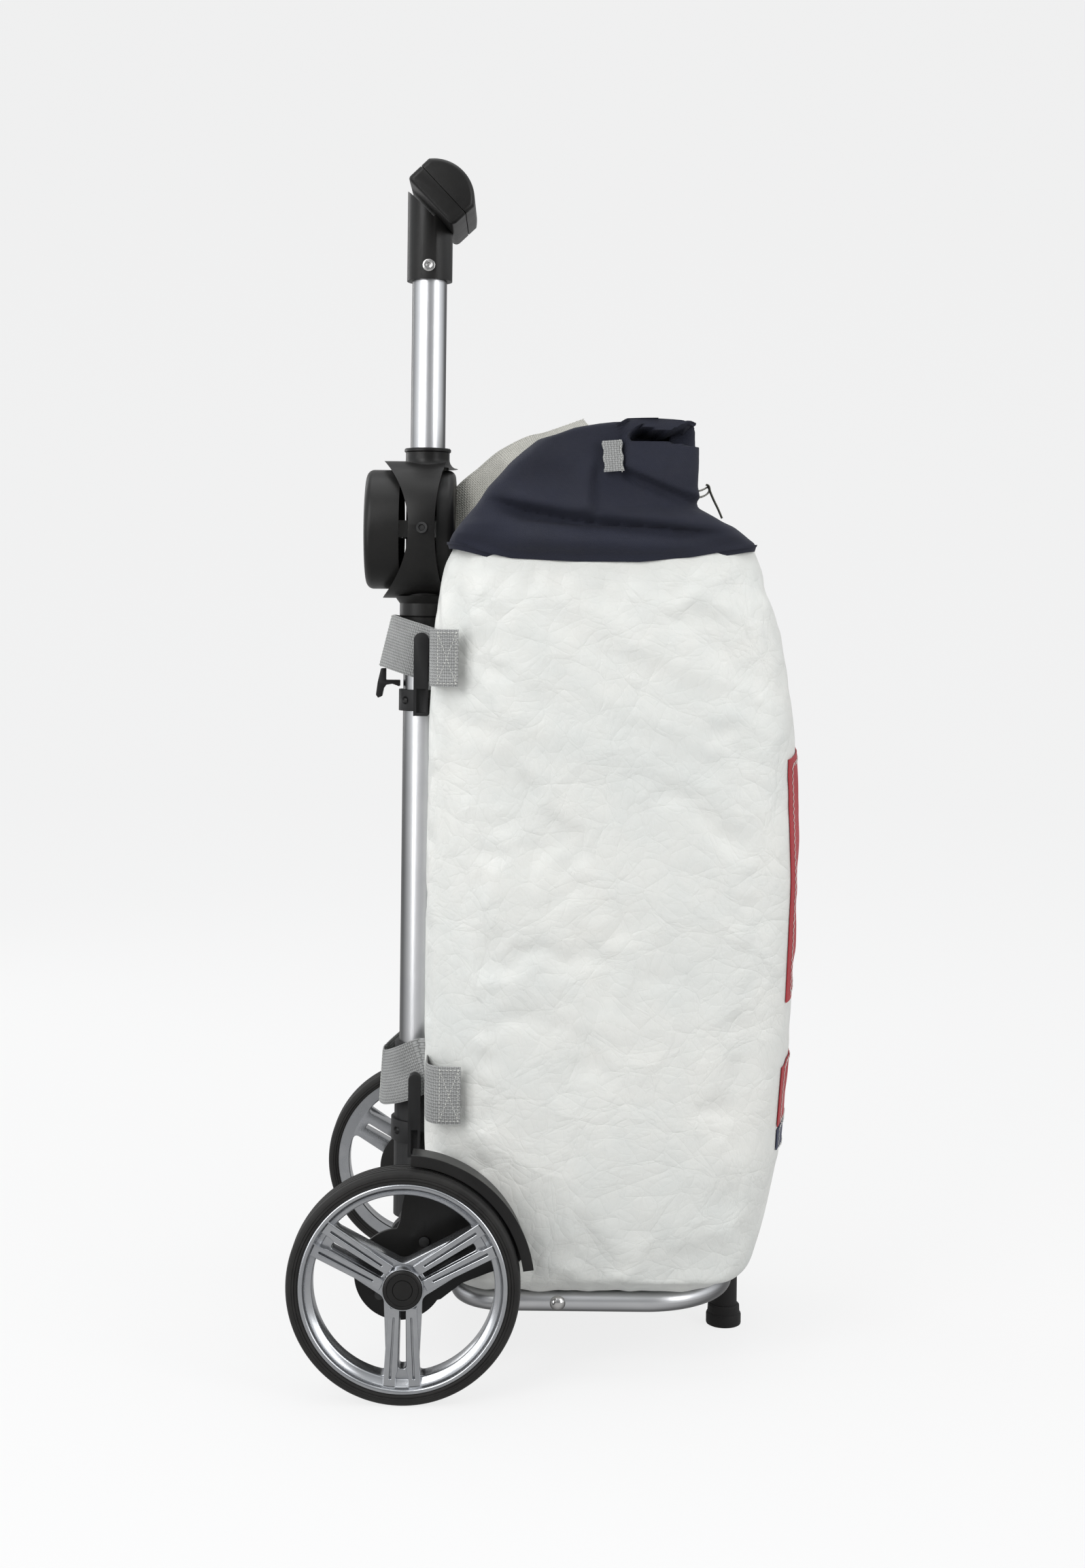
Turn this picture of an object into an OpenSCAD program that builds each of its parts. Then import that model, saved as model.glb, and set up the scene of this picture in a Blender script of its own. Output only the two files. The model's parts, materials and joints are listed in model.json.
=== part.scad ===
// Two-wheeled shopping trolley: telescopic tube frame, folding base loop and a roll-top bag.
// X points to the front (the bag's side), Y to the left, Z up.
// The origin is on the ground, under the middle of the whole trolley.

/* [Overall] */
// Width over the two hub caps
overall_w = 430; // [380:5:480]
// Distance from the axle to the front of the bag
bag_reach = 348; // [330:1:360]

/* [Wheels] */
// Outer diameter of the tyre
wheel_d = 200; // [190:2:204]
// Width of the tyre
wheel_w = 29; // [26:1:32]
// Diameter of the axle
axle_d = 12; // [10:1:14]

/* [Tubes] */
// Diameter of the fixed outer tube
outer_tube_d = 42; // [40:1:42]
// Diameter of the sliding inner tube
inner_tube_d = 33; // [30:1:34]
// Wall of both tubes
tube_wall = 2; // [1.5:0.5:2.5]
// How far the tubes stand in front of the axle
tube_x = 4; // [2:1:6]
// Running clearance on the radius of each sliding or turning fit
run_gap = 0.05; // [0.02:0.01:0.1]

/* [Handle] */
// Height of the lower edge of the handle neck
neck_z = 987; // [980:1:1000]
// Diameter of the handle neck
neck_d = 43; // [41:1:46]
// Width of the grip's flat underside
grip_w = 61; // [54:1:66]
// Height of the grip's section, from its flat underside to its crown
grip_h = 42.5; // [38:0.5:46]
// Length of the grip, side to side
grip_len = 116; // [100:2:140]
// Tilt of the grip's underside from level
grip_tilt = 46.3; // [40:0.1:52]

/* [Lock housing] */
// Height of the centre of the lock housing
lock_z = 751; // [748:1:756]
// Diameter of the housing
lock_d = 130; // [126:1:136]
// Diameter of the release disc and of the front cover
disc_d = 113; // [110:1:114]
// Travel of the release disc
disc_travel = 3; // [2:0.5:3]

/* [Base loop] */
// Diameter of the base loop's tube
loop_d = 19.5; // [18:0.5:20]
// Height of the loop's centre line
loop_z = 65; // [64:0.5:66]
// Half of the distance between the two rails
rail_y = 130; // [126:1:136]
// Distance from the axle to the loop's rear run, which is its hinge
hinge_x = 47; // [46:1:49]
// Distance from the axle to the loop's front run
loop_front = 285; // [275:1:290]

/* [Bag] */
// Half of the bag's width
bag_half_w = 165; // [160:1:166]
// Height of the bag's underside
bag_z = 77; // [77:1:80]
// Height of the seam between bag and hood
seam_z = 727; // [722:1:732]
// Height of the hood's crest
hood_z = 854; // [845:1:860]
// Thickness of the cloth walls
cloth = 4; // [3:0.5:5]

/* [Hidden] */
wheel_r = wheel_d / 2;
axle_r = axle_d / 2;
outer_r = outer_tube_d / 2;
inner_r = inner_tube_d / 2;
disc_r = disc_d / 2;
lock_r = lock_d / 2;
loop_r = loop_d / 2;
patch_t = 1.2;
axle_x = -(bag_reach + 0.3 + patch_t - wheel_r) / 2;
cap_y = overall_w / 2;
wheel_out = cap_y - 2;
wheel_in = wheel_out - wheel_w;
wheel_mid = wheel_out - wheel_w / 2;
rim_r = 0.895 * wheel_r;
window_r = 0.78 * wheel_r;
hub_r = 18;
bush_r = axle_r + 3;
clip_y = wheel_in + 18;
plate_y = wheel_in - 18;
plate_t = 4;
guard_r = wheel_r + 3.5;
guard_t = 4;
lobe = [-5, wheel_r - 1, 39.5];
neck_r = neck_d / 2;
grip_at = [6, 1052];
grip_seam = 17;
shell_t = 3;
fold_r = hinge_x + 38;
corner_r = 76;
bar_x = 133;
bearing_r = loop_r + 1.7;
foot_x = 294;
foot_r = 16.5;
neck_foot_r = 12.5;
finger_y = 60;
finger_t = 12;
band_h = 50;
slack = 0.3;

$fn = 64;

// ---- helpers -------------------------------------------------------------------------------

// Places children that are drawn around the axle's vertical plane.
module from_axle() { translate([axle_x, 0, 0]) children(); }

// Extrudes an outline drawn as X and Z along Y, centred on Y = 0.
module along_y(length) { rotate([90, 0, 0]) linear_extrude(length, center = true) children(); }

// Extrudes an outline drawn as X and Z from one Y to another.
module between_y(low, high) {
    translate([0, (low + high) / 2, 0]) along_y(high - low) children();
}

// A cylinder along Y, from one Y to another, at a point given as X and Z.
module rod_y(r, low, high, x = 0, z = 0) {
    translate([x, low, z]) rotate([-90, 0, 0]) cylinder(r = r, h = high - low);
}

// A cylinder along X, from one X to another, at the height of the lock housing.
module rod_x(r, low, high, y = 0, z = lock_z) {
    translate([low, y, z]) rotate([0, 90, 0]) cylinder(r = r, h = high - low);
}

// A cylinder on the tubes' axis, from one height to another.
module on_tube(r, low, high) { translate([tube_x, 0, low]) cylinder(r = r, h = high - low); }

// A hollow cylinder on the tubes' axis.
module tube_ring(r_out, r_in, low, high) {
    difference() {
        on_tube(r_out, low, high);
        on_tube(r_in, low - 1, high + 1);
    }
}

// A solid turned about the axle's line. The outline is drawn as radius and Y.
module on_axle() {
    translate([0, 0, wheel_r]) rotate([-90, 0, 0]) rotate_extrude($fn = 128) children();
}

// Children at the left side, or mirrored to the right side.
module on_side(left) {
    if (left) children();
    else mirror([0, 1, 0]) children();
}

module both_sides() {
    children();
    mirror([0, 1, 0]) children();
}

// A rounded rectangle drawn around a centre.
module rounded(size, r) {
    offset(r = r) square([size.x - 2 * r, size.y - 2 * r], center = true);
}

// ---- handle --------------------------------------------------------------------------------

// Frame of the grip: X runs down along its flat underside, Z points out of it to the crown.
module on_grip() {
    translate([grip_at.x, 0, grip_at.y]) rotate([0, grip_tilt, 0]) children();
}

// Section of the grip, drawn as X and Z, shrunk by inset and cut to a range of heights.
module grip_section(inset, low, high) {
    crown_r = (pow(grip_w / 2, 2) + 240) / 31;
    intersection() {
        translate([0, grip_h - crown_r]) circle(r = crown_r - inset, $fn = 96);
        translate([-grip_w / 2 + inset, low]) square([grip_w - 2 * inset, high - low]);
    }
}

module grip_cap() color([0.17, 0.17, 0.17]) from_axle() on_grip() {
    difference() {
        along_y(grip_len) grip_section(0, grip_seam, grip_h);
        along_y(grip_len - 2 * shell_t) grip_section(shell_t, grip_seam - 1, grip_h);
    }
}

module grip_lower_shell() color([0.15, 0.15, 0.15]) from_axle() on_grip() {
    difference() {
        along_y(grip_len) grip_section(0, 0, grip_seam);
        along_y(grip_len - 2 * shell_t) grip_section(shell_t, shell_t, grip_seam + 1);
    }
}

// Sleeve on the inner tube. Its slanted top carries the front half of the grip, and a slot
// parts its rear half from the grip.
module handle_neck() color([0.16, 0.16, 0.16]) from_axle() {
    slot = 3;
    difference() {
        intersection() {
            on_tube(neck_r, neck_z, neck_z + 110);
            on_grip() union() {
                translate([-80, -30, -120 - slot]) cube([160, 60, 120]);
                translate([6, -30, -slot - 1]) cube([60, 60, slot + 1]);
            }
        }
        on_tube(inner_r, neck_z - 1, neck_z + 40);
        rod_y(6.1, -neck_r - 1, -neck_r + 3, tube_x, neck_z + 12.5);
        rod_y(2.6, -neck_r - 1, neck_r + 1, tube_x, neck_z + 12.5);
    }
}

// Screw through the neck and the inner tube, with a hexagon socket.
module neck_screw() color("silver") from_axle() {
    z = neck_z + 12.5;
    head = -neck_r + 2.9;
    difference() {
        union() {
            rod_y(6, head - 4, head, tube_x, z);
            rod_y(2.5, head - 0.1, neck_r - 1, tube_x, z);
        }
        translate([tube_x, head - 5, z]) rotate([-90, 0, 0]) cylinder(r = 2.4, h = 3.5, $fn = 6);
    }
}

// ---- tubes ---------------------------------------------------------------------------------

module inner_tube() color("silver") from_axle() difference() {
    tube_ring(inner_r, inner_r - tube_wall, 430, neck_z + 40);
    rod_y(2.6, -30, 30, tube_x, neck_z + 12.5);
}

// Bush on the inner tube's lower end, which slides in the outer tube.
module slide_bush() color("dimgray") from_axle() {
    tube_ring(outer_r - tube_wall - run_gap, inner_r, 430, 470);
}

// Bush in the outer tube's mouth, which the inner tube slides in.
module guide_bush() color("dimgray") from_axle() {
    tube_ring(outer_r - tube_wall, inner_r + run_gap, 660, 700);
}

module outer_tube() color("silver") from_axle() {
    tube_ring(outer_r, outer_r - tube_wall, 150, 700);
}

// ---- lock housing --------------------------------------------------------------------------

// Round housing with waisted sides. A boss inside it holds both tubes.
module housing_body() color([0.18, 0.18, 0.18]) from_axle() {
    waist_rear = 93;
    waist_front = 250;
    boss_r = 20;
    difference() {
        union() {
            difference() {
                rod_x(lock_r, -41, 30);
                rod_x(disc_r + 1, -42, 31);
                rod_y(waist_rear, -80, 80, -10.6 - waist_rear, lock_z);
                rod_y(waist_front, -80, 80, 13.6 + waist_front, lock_z);
            }
            on_tube(boss_r, 698, lock_z + lock_r);
            on_tube(outer_r + 3, lock_z - lock_r, 703);
        }
        on_tube(outer_r, lock_z - lock_r - 1, 700);
        on_tube(inner_r + run_gap, 690, lock_z + lock_r + 1);
        translate([tube_x + 8, -30, lock_z - 13]) cube([30, 60, 26]);
        both_sides() rod_y(3, disc_r - 1, lock_r + 1, tube_x - 2, lock_z);
    }
}

// Skirted disc with its face at one X, its skirt reaching to another, and notches that clear
// the boss at the top and the bottom.
module skirted_disc(face_x, skirt_x, boss_x) {
    wall = 2;
    dir = sign(skirt_x - face_x);
    difference() {
        rod_x(disc_r, min(face_x, skirt_x), max(face_x, skirt_x));
        rod_x(disc_r - wall, min(face_x + dir * wall, skirt_x + dir),
              max(face_x + dir * wall, skirt_x + dir));
        for (z = [lock_z - disc_r - 3, lock_z + disc_r - 15])
            translate([min(boss_x, boss_x + dir * 60), -26, z]) cube([60, 52, 18]);
    }
}

module front_cover() color([0.14, 0.14, 0.14]) from_axle() skirted_disc(31.3, 15, 29);

module release_disc() color([0.12, 0.12, 0.12]) from_axle() skirted_disc(-53, -12, -26);

// Frame on the back of the release disc. Its arms pass the boss and pull the brake shoe.
module release_yoke() color("gray") from_axle() {
    bar = [26 - 23.1, 49, 16];
    both_sides() translate([-51, 21.5, lock_z - 8]) cube([77, 3, 16]);
    translate([23.1, -bar.y / 2, lock_z - bar.z / 2]) cube(bar);
}

// Curved pad that grips the inner tube through the housing's window.
module brake_shoe() color("black") from_axle() difference() {
    translate([tube_x + 9, -13, lock_z - 8]) cube([23.1 - tube_x - 9, 26, 16]);
    on_tube(inner_r + run_gap, lock_z - 20, lock_z + 20);
}

// Return spring between the boss and the release disc.
module release_spring() color("silver") from_axle() {
    turns = 5;
    steps = 14;
    wire = 0.9;
    coil_r = 7;
    from_x = -50;
    to_x = -17.4;
    n = turns * steps;
    ring = 6;
    points = [for (i = [0:n], k = [0:ring - 1])
        let (a = 360 * i / steps, b = 360 * k / ring, r = coil_r + wire * cos(b),
             x = from_x + wire + (to_x - from_x - 2 * wire) * i / n + wire * sin(b))
        [x, r * cos(a), lock_z + r * sin(a)]];
    sides = [for (i = [0:n - 1], k = [0:ring - 1])
        let (j = (k + 1) % ring) [i * ring + j, i * ring + k, (i + 1) * ring + k, (i + 1) * ring + j]];
    ends = [[for (k = [0:ring - 1]) k], [for (k = [ring - 1:-1:0]) n * ring + k]];
    polyhedron(points, concat(sides, ends), convexity = 10);
}

module housing_screws() color("dimgray") from_axle() both_sides() {
    rod_y(3, disc_r, lock_r - 1.5, tube_x - 2, lock_z);
}

module top_collar() color([0.15, 0.15, 0.15]) from_axle() {
    tube_ring(20.5, inner_r + run_gap, lock_z + lock_r, lock_z + lock_r + 12);
}

// Stepped collar that closes the housing around the outer tube.
module bottom_collar() color([0.15, 0.15, 0.15]) from_axle() {
    tube_ring(outer_r + 4, outer_r, lock_z - lock_r - 18, lock_z - lock_r);
    tube_ring(outer_r + 2, outer_r, lock_z - lock_r - 35, lock_z - lock_r - 17.9);
}

// ---- bag brackets --------------------------------------------------------------------------

// Height of each bracket's screws and the X of their inner ends, upper bracket first.
screw_places = [[589.6, -12.2], [184, -15.2]];

// Recesses for the screws of one bracket.
module screw_seats(i) both_sides() {
    rod_x(3.5, -40, screw_places[i][1], outer_r - 4, screw_places[i][0]);
}

// Clamp ring with a cross arm and two upright fingers, which keep the bag's band in place.
module finger_bracket(low, finger_h, x_low, x_high, clamp_r) {
    mid = (x_low + x_high) / 2;
    half = (x_high - x_low) / 2;
    difference() {
        union() {
            on_tube(clamp_r, low + 2, low + 22);
            translate([x_low, -finger_y - finger_t / 2, low])
                cube([x_high - x_low, 2 * finger_y + finger_t, 14]);
            both_sides() between_y(finger_y - finger_t / 2, finger_y + finger_t / 2) {
                translate([x_low, low]) square([2 * half, finger_h - half]);
                translate([mid, low + finger_h - half]) circle(r = half);
            }
        }
        on_tube(outer_r, low - 1, low + 40);
        both_sides() between_y(finger_y + 1, finger_y + finger_t)
            translate([x_low + 3, low + 3]) square([2 * half - 5, 22]);
    }
}

module upper_bracket() color([0.2, 0.2, 0.2]) from_axle() difference() {
    finger_bracket(577.6, 76.7, -4, 9.4, outer_r + 4);
    screw_seats(0);
}

module lower_bracket() color([0.2, 0.2, 0.2]) from_axle() difference() {
    finger_bracket(172, 76, -4.7, 6.4, outer_r + 7);
    on_tube(outer_r + 4, 100, 300);
    screw_seats(1);
}

// Claw behind the upper bracket, which hangs the trolley on a shop's cart.
module cart_hook() color([0.2, 0.2, 0.2]) from_axle() difference() {
    along_y(14) polygon([
        [-10, 594], [-10, 608], [-33.5, 608], [-33.5, 619], [-38, 619], [-41, 606],
        [-42.5, 594], [-40.5, 591.2], [-37, 592.5], [-35.5, 600], [-33, 603.5],
        [-27, 604.5], [-17, 601]
    ]);
    on_tube(outer_r + 4, 500, 700);
}

module bracket_screws() color("silver") from_axle() for (place = screw_places)
    both_sides() rod_x(3.5, place[1] - 2.4, place[1], outer_r - 4, place[0]);

// ---- chassis and mudguards -----------------------------------------------------------------

// Sleeve for the tube, axle beam and the two bearings of the base loop, moulded as one.
module chassis() color([0.16, 0.16, 0.16]) from_axle() difference() {
    union() {
        on_tube(outer_r + 4, wheel_r + 2, 266);
        rod_y(15, -plate_y, plate_y, 0, wheel_r);
        both_sides() between_y(44, 58) {
            translate([0, wheel_r - 6]) circle(r = 21);
            translate([hinge_x, loop_z]) circle(r = bearing_r);
            polygon([
                [-4, 58], [hinge_x - 2, loop_z - bearing_r + 0.2], [hinge_x, loop_z + bearing_r - 0.1],
                [20, loop_z + bearing_r], [14, 92], [-10, 92]
            ]);
        }
        translate([-14, -58, 72]) cube([28, 116, 26]);
    }
    on_tube(outer_r, 150, 300);
    screw_seats(1);
    rod_y(axle_r, -200, 200, 0, wheel_r);
    rod_y(loop_r + run_gap, -100, 100, hinge_x, loop_z);
}

// Inner wall and curved guard over the front upper quarter of the wheel.
module mudguard(left) from_axle() on_side(left) {
    start = 8;
    stop = 87;
    difference() {
        between_y(plate_y, plate_y + plate_t) {
            translate([lobe.x, lobe.y]) circle(r = lobe[2]);
            polygon(concat(
                [for (a = [start:(stop - start) / 16:stop])
                    [guard_r * cos(a), wheel_r + guard_r * sin(a)]],
                [[-3, 160], [-5, 145], [-10, 133], [-18, 123], [-30, 113], [-20, 90], [20, 75],
                 [31, 78], [49, 92], [73, 101.5], [96, 109]]
            ));
        }
        rod_y(axle_r, 0, 300, 0, wheel_r);
        for (p = [[16, 128], [-22, 82]])
            rod_y(2.5, 0, 300, p.x, p.y);
    }
    translate([0, 0, wheel_r]) rotate([-90, 0, 0]) rotate([0, 0, -stop])
        rotate_extrude(angle = stop - start, $fn = 128) {
            translate([guard_r - 0.5, plate_y]) square([guard_t + 0.5, 40]);
            translate([guard_r, plate_y + 37]) square([8.5, 3]);
        }
}

module left_mudguard() color([0.12, 0.12, 0.12]) mudguard(true);

module right_mudguard() color([0.12, 0.12, 0.12]) mudguard(false);

module mudguard_screws() color("silver") from_axle() both_sides() for (p = [[16, 128], [-22, 82]]) {
    rod_y(2.5, plate_y, plate_y + plate_t, p.x, p.y);
    rod_y(4.5, plate_y + plate_t, plate_y + plate_t + 2.5, p.x, p.y);
}

// ---- axle ----------------------------------------------------------------------------------

module axle() color("silver") from_axle() {
    rod_y(axle_r, -clip_y - 5, clip_y + 5, 0, wheel_r);
}

module axle_spacers() color("dimgray") from_axle() both_sides() on_axle() {
    translate([axle_r, plate_y + plate_t]) square([3, wheel_in - plate_y - plate_t + 0.8]);
}

module retaining_clips() color("silver") from_axle() both_sides() on_axle() {
    translate([axle_r, clip_y]) square([4, 1.5]);
}

// ---- wheels --------------------------------------------------------------------------------

spoke_turns = [-90, 30, 150];

// One of the three large windows, drawn around the direction 90 degrees from the first spoke.
module window_shape() {
    round_r = 9;
    offset(r = round_r) offset(delta = -round_r) intersection() {
        circle(r = window_r, $fn = 96);
        polygon([[0, 19], [1.6 * wheel_r, 19 + 1.6 * wheel_r * tan(30) - 9], [0, 3 * wheel_r],
                 [-1.6 * wheel_r, 19 + 1.6 * wheel_r * tan(30) - 9]]);
    }
}

// Ring, spider with double spokes and hub of one wheel, drawn for the left side.
module rim(left) from_axle() on_side(left) {
    back = wheel_in + 3;
    web = wheel_in + 20;
    face = wheel_in + 25;
    difference() {
        union() {
            on_axle() polygon([
                [window_r, back], [window_r, web + 1], [window_r + 5.5, wheel_out - 3],
                [window_r + 6.5, wheel_out - 0.8], [rim_r - 1, wheel_out - 0.8], [rim_r, wheel_out - 2],
                [rim_r, back]
            ]);
            between_y(back, web) translate([0, wheel_r]) difference() {
                circle(r = window_r + 1, $fn = 96);
                for (a = [0, 120, 240]) rotate(a) window_shape();
            }
            between_y(web - 1, face) translate([0, wheel_r]) for (a = spoke_turns) rotate(a)
                polygon([[14, -12], [window_r + 5, -16], [window_r + 5, 16], [14, 12]]);
            rod_y(hub_r, wheel_in + 1, wheel_out + 1, 0, wheel_r);
        }
        between_y(0, 300) translate([0, wheel_r]) for (a = spoke_turns) rotate(a)
            polygon([[hub_r + 1, -2.2], [window_r - 6, -3.6], [window_r - 6, 3.6], [hub_r + 1, 2.2]]);
        between_y(face - 1.2, 300) translate([0, wheel_r]) for (a = spoke_turns, s = [-1, 1])
            rotate(a) polygon([[26, s * 6.6], [74, s * 8.9], [74, s * 10.5], [26, s * 7.8]]);
        rod_y(bush_r, 0, 300, 0, wheel_r);
        rod_y(14, clip_y - 0.5, 300, 0, wheel_r);
        rod_y(hub_r - 1.2, wheel_out - 4, 300, 0, wheel_r);
    }
}

module left_rim() color("silver") rim(true);

module right_rim() color("silver") rim(false);

// Tyre with rounded shoulders and grooves around its tread.
module tyre(left) from_axle() on_side(left) on_axle() {
    half = wheel_w / 2;
    grooves = [-7.5, -2.5, 2.5, 7.5];
    translate([0, wheel_mid]) polygon(concat(
        [[rim_r, half - 1], [rim_r, 1 - half], [wheel_r - 8, -half], [wheel_r - 4, 0.5 - half],
         [wheel_r - 1.5, 2.2 - half], [wheel_r - 0.3, 4.5 - half]],
        [for (g = grooves, p = [[0, -1.1], [-1.5, -0.6], [-1.5, 0.6], [0, 1.1]])
            [wheel_r + p.x, g + p.y]],
        [[wheel_r - 0.3, half - 4.5], [wheel_r - 1.5, half - 2.2], [wheel_r - 4, half - 0.5],
         [wheel_r - 8, half]]
    ));
}

module left_tyre() color([0.1, 0.1, 0.1]) tyre(true);

module right_tyre() color([0.1, 0.1, 0.1]) tyre(false);

module bush(left) from_axle() on_side(left) on_axle() {
    translate([axle_r + run_gap, wheel_in + 1])
        square([bush_r - axle_r - run_gap, clip_y - wheel_in - 2]);
}

module left_bush() color("white") bush(true);

module right_bush() color("white") bush(false);

module hub_cap(left) from_axle() on_side(left) on_axle() {
    polygon([
        [0, wheel_out - 0.5], [12, wheel_out - 0.5], [12, clip_y + 3.5], [13.9, clip_y + 3.5],
        [13.9, wheel_out - 4], [hub_r - 1.2, wheel_out - 4], [hub_r - 1.2, wheel_out + 0.6],
        [hub_r - 2.6, cap_y], [0, cap_y]
    ]);
}

module left_hub_cap() color([0.13, 0.13, 0.13]) hub_cap(true);

module right_hub_cap() color([0.13, 0.13, 0.13]) hub_cap(false);

// ---- folding base loop ---------------------------------------------------------------------

// Solid rod along the closed centre line of the loop.
module loop_rod(r) {
    rear_r = fold_r - hinge_x;
    rod_y(r, -rail_y + rear_r, rail_y - rear_r, hinge_x, loop_z);
    rod_y(r, -rail_y + corner_r, rail_y - corner_r, loop_front, loop_z);
    both_sides() {
        translate([0, rail_y, 0]) rod_x(r, fold_r, loop_front - corner_r, 0, loop_z);
        translate([fold_r, rail_y - rear_r, loop_z]) rotate([0, 0, 90])
            rotate_extrude(angle = 90) translate([rear_r, 0]) circle(r = r, $fn = 48);
        translate([loop_front - corner_r, rail_y - corner_r, loop_z])
            rotate_extrude(angle = 90) translate([corner_r, 0]) circle(r = r, $fn = 48);
    }
}

module base_loop() color("silver") from_axle() difference() {
    loop_rod(loop_r);
    loop_rod(loop_r - 1.75);
    rod_y(3, -200, 200, bar_x, loop_z);
}

module cross_bar() color("silver") from_axle() difference() {
    rod_y(7, loop_r - rail_y, rail_y - loop_r, bar_x, loop_z);
    rod_y(3, -200, 200, bar_x, loop_z);
}

// Domed bolts through the rails into the cross bar.
module base_bolts() color("silver") from_axle() both_sides() {
    side = rail_y + loop_r - 0.9;
    rod_y(3, side - 45, side + 1, bar_x, loop_z);
    difference() {
        translate([bar_x, side - 3.6, loop_z]) sphere(r = 8.2);
        rod_y(20, side - 20, side + 0.9, bar_x, loop_z);
    }
}

module foot_socket() color([0.15, 0.15, 0.15]) from_axle() difference() {
    translate([foot_x, 0, 3]) cylinder(r = neck_foot_r, h = loop_z - 1);
    rod_y(loop_r, -30, 30, loop_front, loop_z);
}

module rubber_foot() color([0.1, 0.1, 0.1]) from_axle() translate([foot_x, 0, 0]) difference() {
    union() {
        cylinder(r = foot_r, h = 11);
        cylinder(r = foot_r - 1.3, h = 19);
    }
    translate([0, 0, 3]) cylinder(r = neck_foot_r, h = 30);
}

// ---- bag -----------------------------------------------------------------------------------

// Rear, front and half width of the bag and of the hood at each height.
bag_levels = [
    [bag_z, 40, bag_reach - 58, bag_half_w - 34], [bag_z + 9, 25, bag_reach - 46, bag_half_w - 14],
    [bag_z + 40, 18, bag_reach - 33, bag_half_w - 4], [bag_z + 115, 17, bag_reach - 17, bag_half_w],
    [bag_z + 235, 17, bag_reach - 9, bag_half_w], [440, 17, bag_reach, bag_half_w],
    [575, 17, bag_reach - 8, bag_half_w], [660, 18, bag_reach - 21, bag_half_w - 1],
    [684, 20, bag_reach - 28, bag_half_w - 1], [709, 22, bag_reach - 34, bag_half_w - 2],
    [seam_z, 34, bag_reach - 42, bag_half_w - 3]
];
hood_levels = [
    [seam_z, 34, bag_reach - 42, bag_half_w - 3], [seam_z + 25, 42, bag_reach - 68, bag_half_w - 3],
    [seam_z + 50, 50, bag_reach - 90, bag_half_w - 4], [seam_z + 90, 66, bag_reach - 90, bag_half_w - 6],
    [hood_z - 12, 112, bag_reach - 90, bag_half_w - 8], [hood_z, 150, bag_reach - 95, bag_half_w - 10]
];

// A point on the edge of a square from -1 to 1, where t counts its four sides.
function on_square(t) =
    let (side = floor(t), s = 2 * (t - side) - 1)
    side == 0 ? [1, s] : side == 1 ? [-s, 1] : side == 2 ? [-1, -s] : [s, -1];

// One ring of the lofted cloth. The tube and the lock housing press a groove into its back.
function cloth_ring(level, inset, count) =
    let (z = level[0], rear = level[1] + inset, front = level[2] - inset, half = level[3] - inset,
         mid = (rear + front) / 2, reach = (front - rear) / 2, power = 7)
    [for (i = [0:count - 1])
        let (p = on_square(4 * i / count),
             shrink = pow(pow(abs(p.x), power) + pow(abs(p.y), power), -1 / power),
             x = mid + reach * p.x * shrink,
             y = half * p.y * shrink,
             groove = outer_r + 9 + inset,
             tube_front = abs(y) < groove ? tube_x + sqrt(groove * groove - y * y) : -1000,
             housing_front = z > 670 && z < 830 && abs(y) < lock_r + 12 ? 34 + inset : -1000)
        [max(x, tube_front, housing_front), y, z]];

// Closed solid through the rings, with the first and the last level moved by end_shift.
module cloth_loft(levels, inset, low_shift, high_shift) {
    count = 72;
    last = len(levels) - 1;
    rings = [for (i = [0:last])
        let (level = levels[i], shift = i == 0 ? low_shift : i == last ? high_shift : 0)
        cloth_ring([level[0] + shift, level[1], level[2], level[3]], inset, count)];
    points = [for (ring = rings) each ring];
    sides = [for (i = [0:last - 1], k = [0:count - 1])
        let (j = (k + 1) % count)
        each [[i * count + k, (i + 1) * count + k, (i + 1) * count + j],
              [i * count + k, (i + 1) * count + j, i * count + j]]];
    ends = [[for (k = [0:count - 1]) k], [for (k = [count - 1:-1:0]) last * count + k]];
    polyhedron(points, concat(sides, ends), convexity = 6);
}

module bag_body() color([0.89, 0.89, 0.87]) from_axle() difference() {
    cloth_loft(bag_levels, 0, 0, 0);
    cloth_loft(bag_levels, cloth, cloth, 1);
}

module bag_hood() color([0.15, 0.17, 0.24]) from_axle() difference() {
    cloth_loft(hood_levels, 0, 0, 0);
    cloth_loft(hood_levels, cloth, -1, -cloth);
}

// Webbing that runs from the bag's sides behind the tube. Its route is drawn from above.
module tube_band(low, rear_x) {
    half = [
        [44, 167], [24, 167], [14.5, 152], [14.5, 72], [12.5, 51], [-8, 46], [-22, 26], [rear_x, 9]
    ];
    route = concat(half, [for (i = [len(half) - 1:-1:0]) [half[i].x, -half[i].y]]);
    thick = 2;
    last = len(route) - 1;
    normals = [for (i = [0:last])
        let (d = route[min(i + 1, last)] - route[max(i - 1, 0)]) [-d.y, d.x] / norm(d)];
    translate([0, 0, low]) linear_extrude(band_h) polygon(concat(
        [for (i = [0:last]) route[i] + thick / 2 * normals[i]],
        [for (i = [last:-1:0]) route[i] - thick / 2 * normals[i]]
    ));
}

module upper_band() color([0.6, 0.6, 0.6]) from_axle() tube_band(609, -31);

module lower_band() color([0.6, 0.6, 0.6]) from_axle() tube_band(229, -31);

// Wide webbing that climbs the hood's rear slope to its crest.
module carry_strap() color([0.75, 0.74, 0.7]) from_axle() along_y(40) polygon([
    [37, 752], [47, 778], [64, 820], [111, 845], [152, 857], [151.5, 859.2], [110, 847.2],
    [62, 822], [45, 779], [35, 753]
]);

module side_tabs() color([0.65, 0.67, 0.7]) from_axle() both_sides() {
    translate([160, bag_half_w - 3.5, 795]) cube([20, 2, 36]);
}

module closure_hook() color([0.4, 0.4, 0.36]) from_axle() along_y(14) polygon([
    [271, 795], [274, 795], [286, 776], [283, 772], [279, 775], [281, 777]
]);

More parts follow.
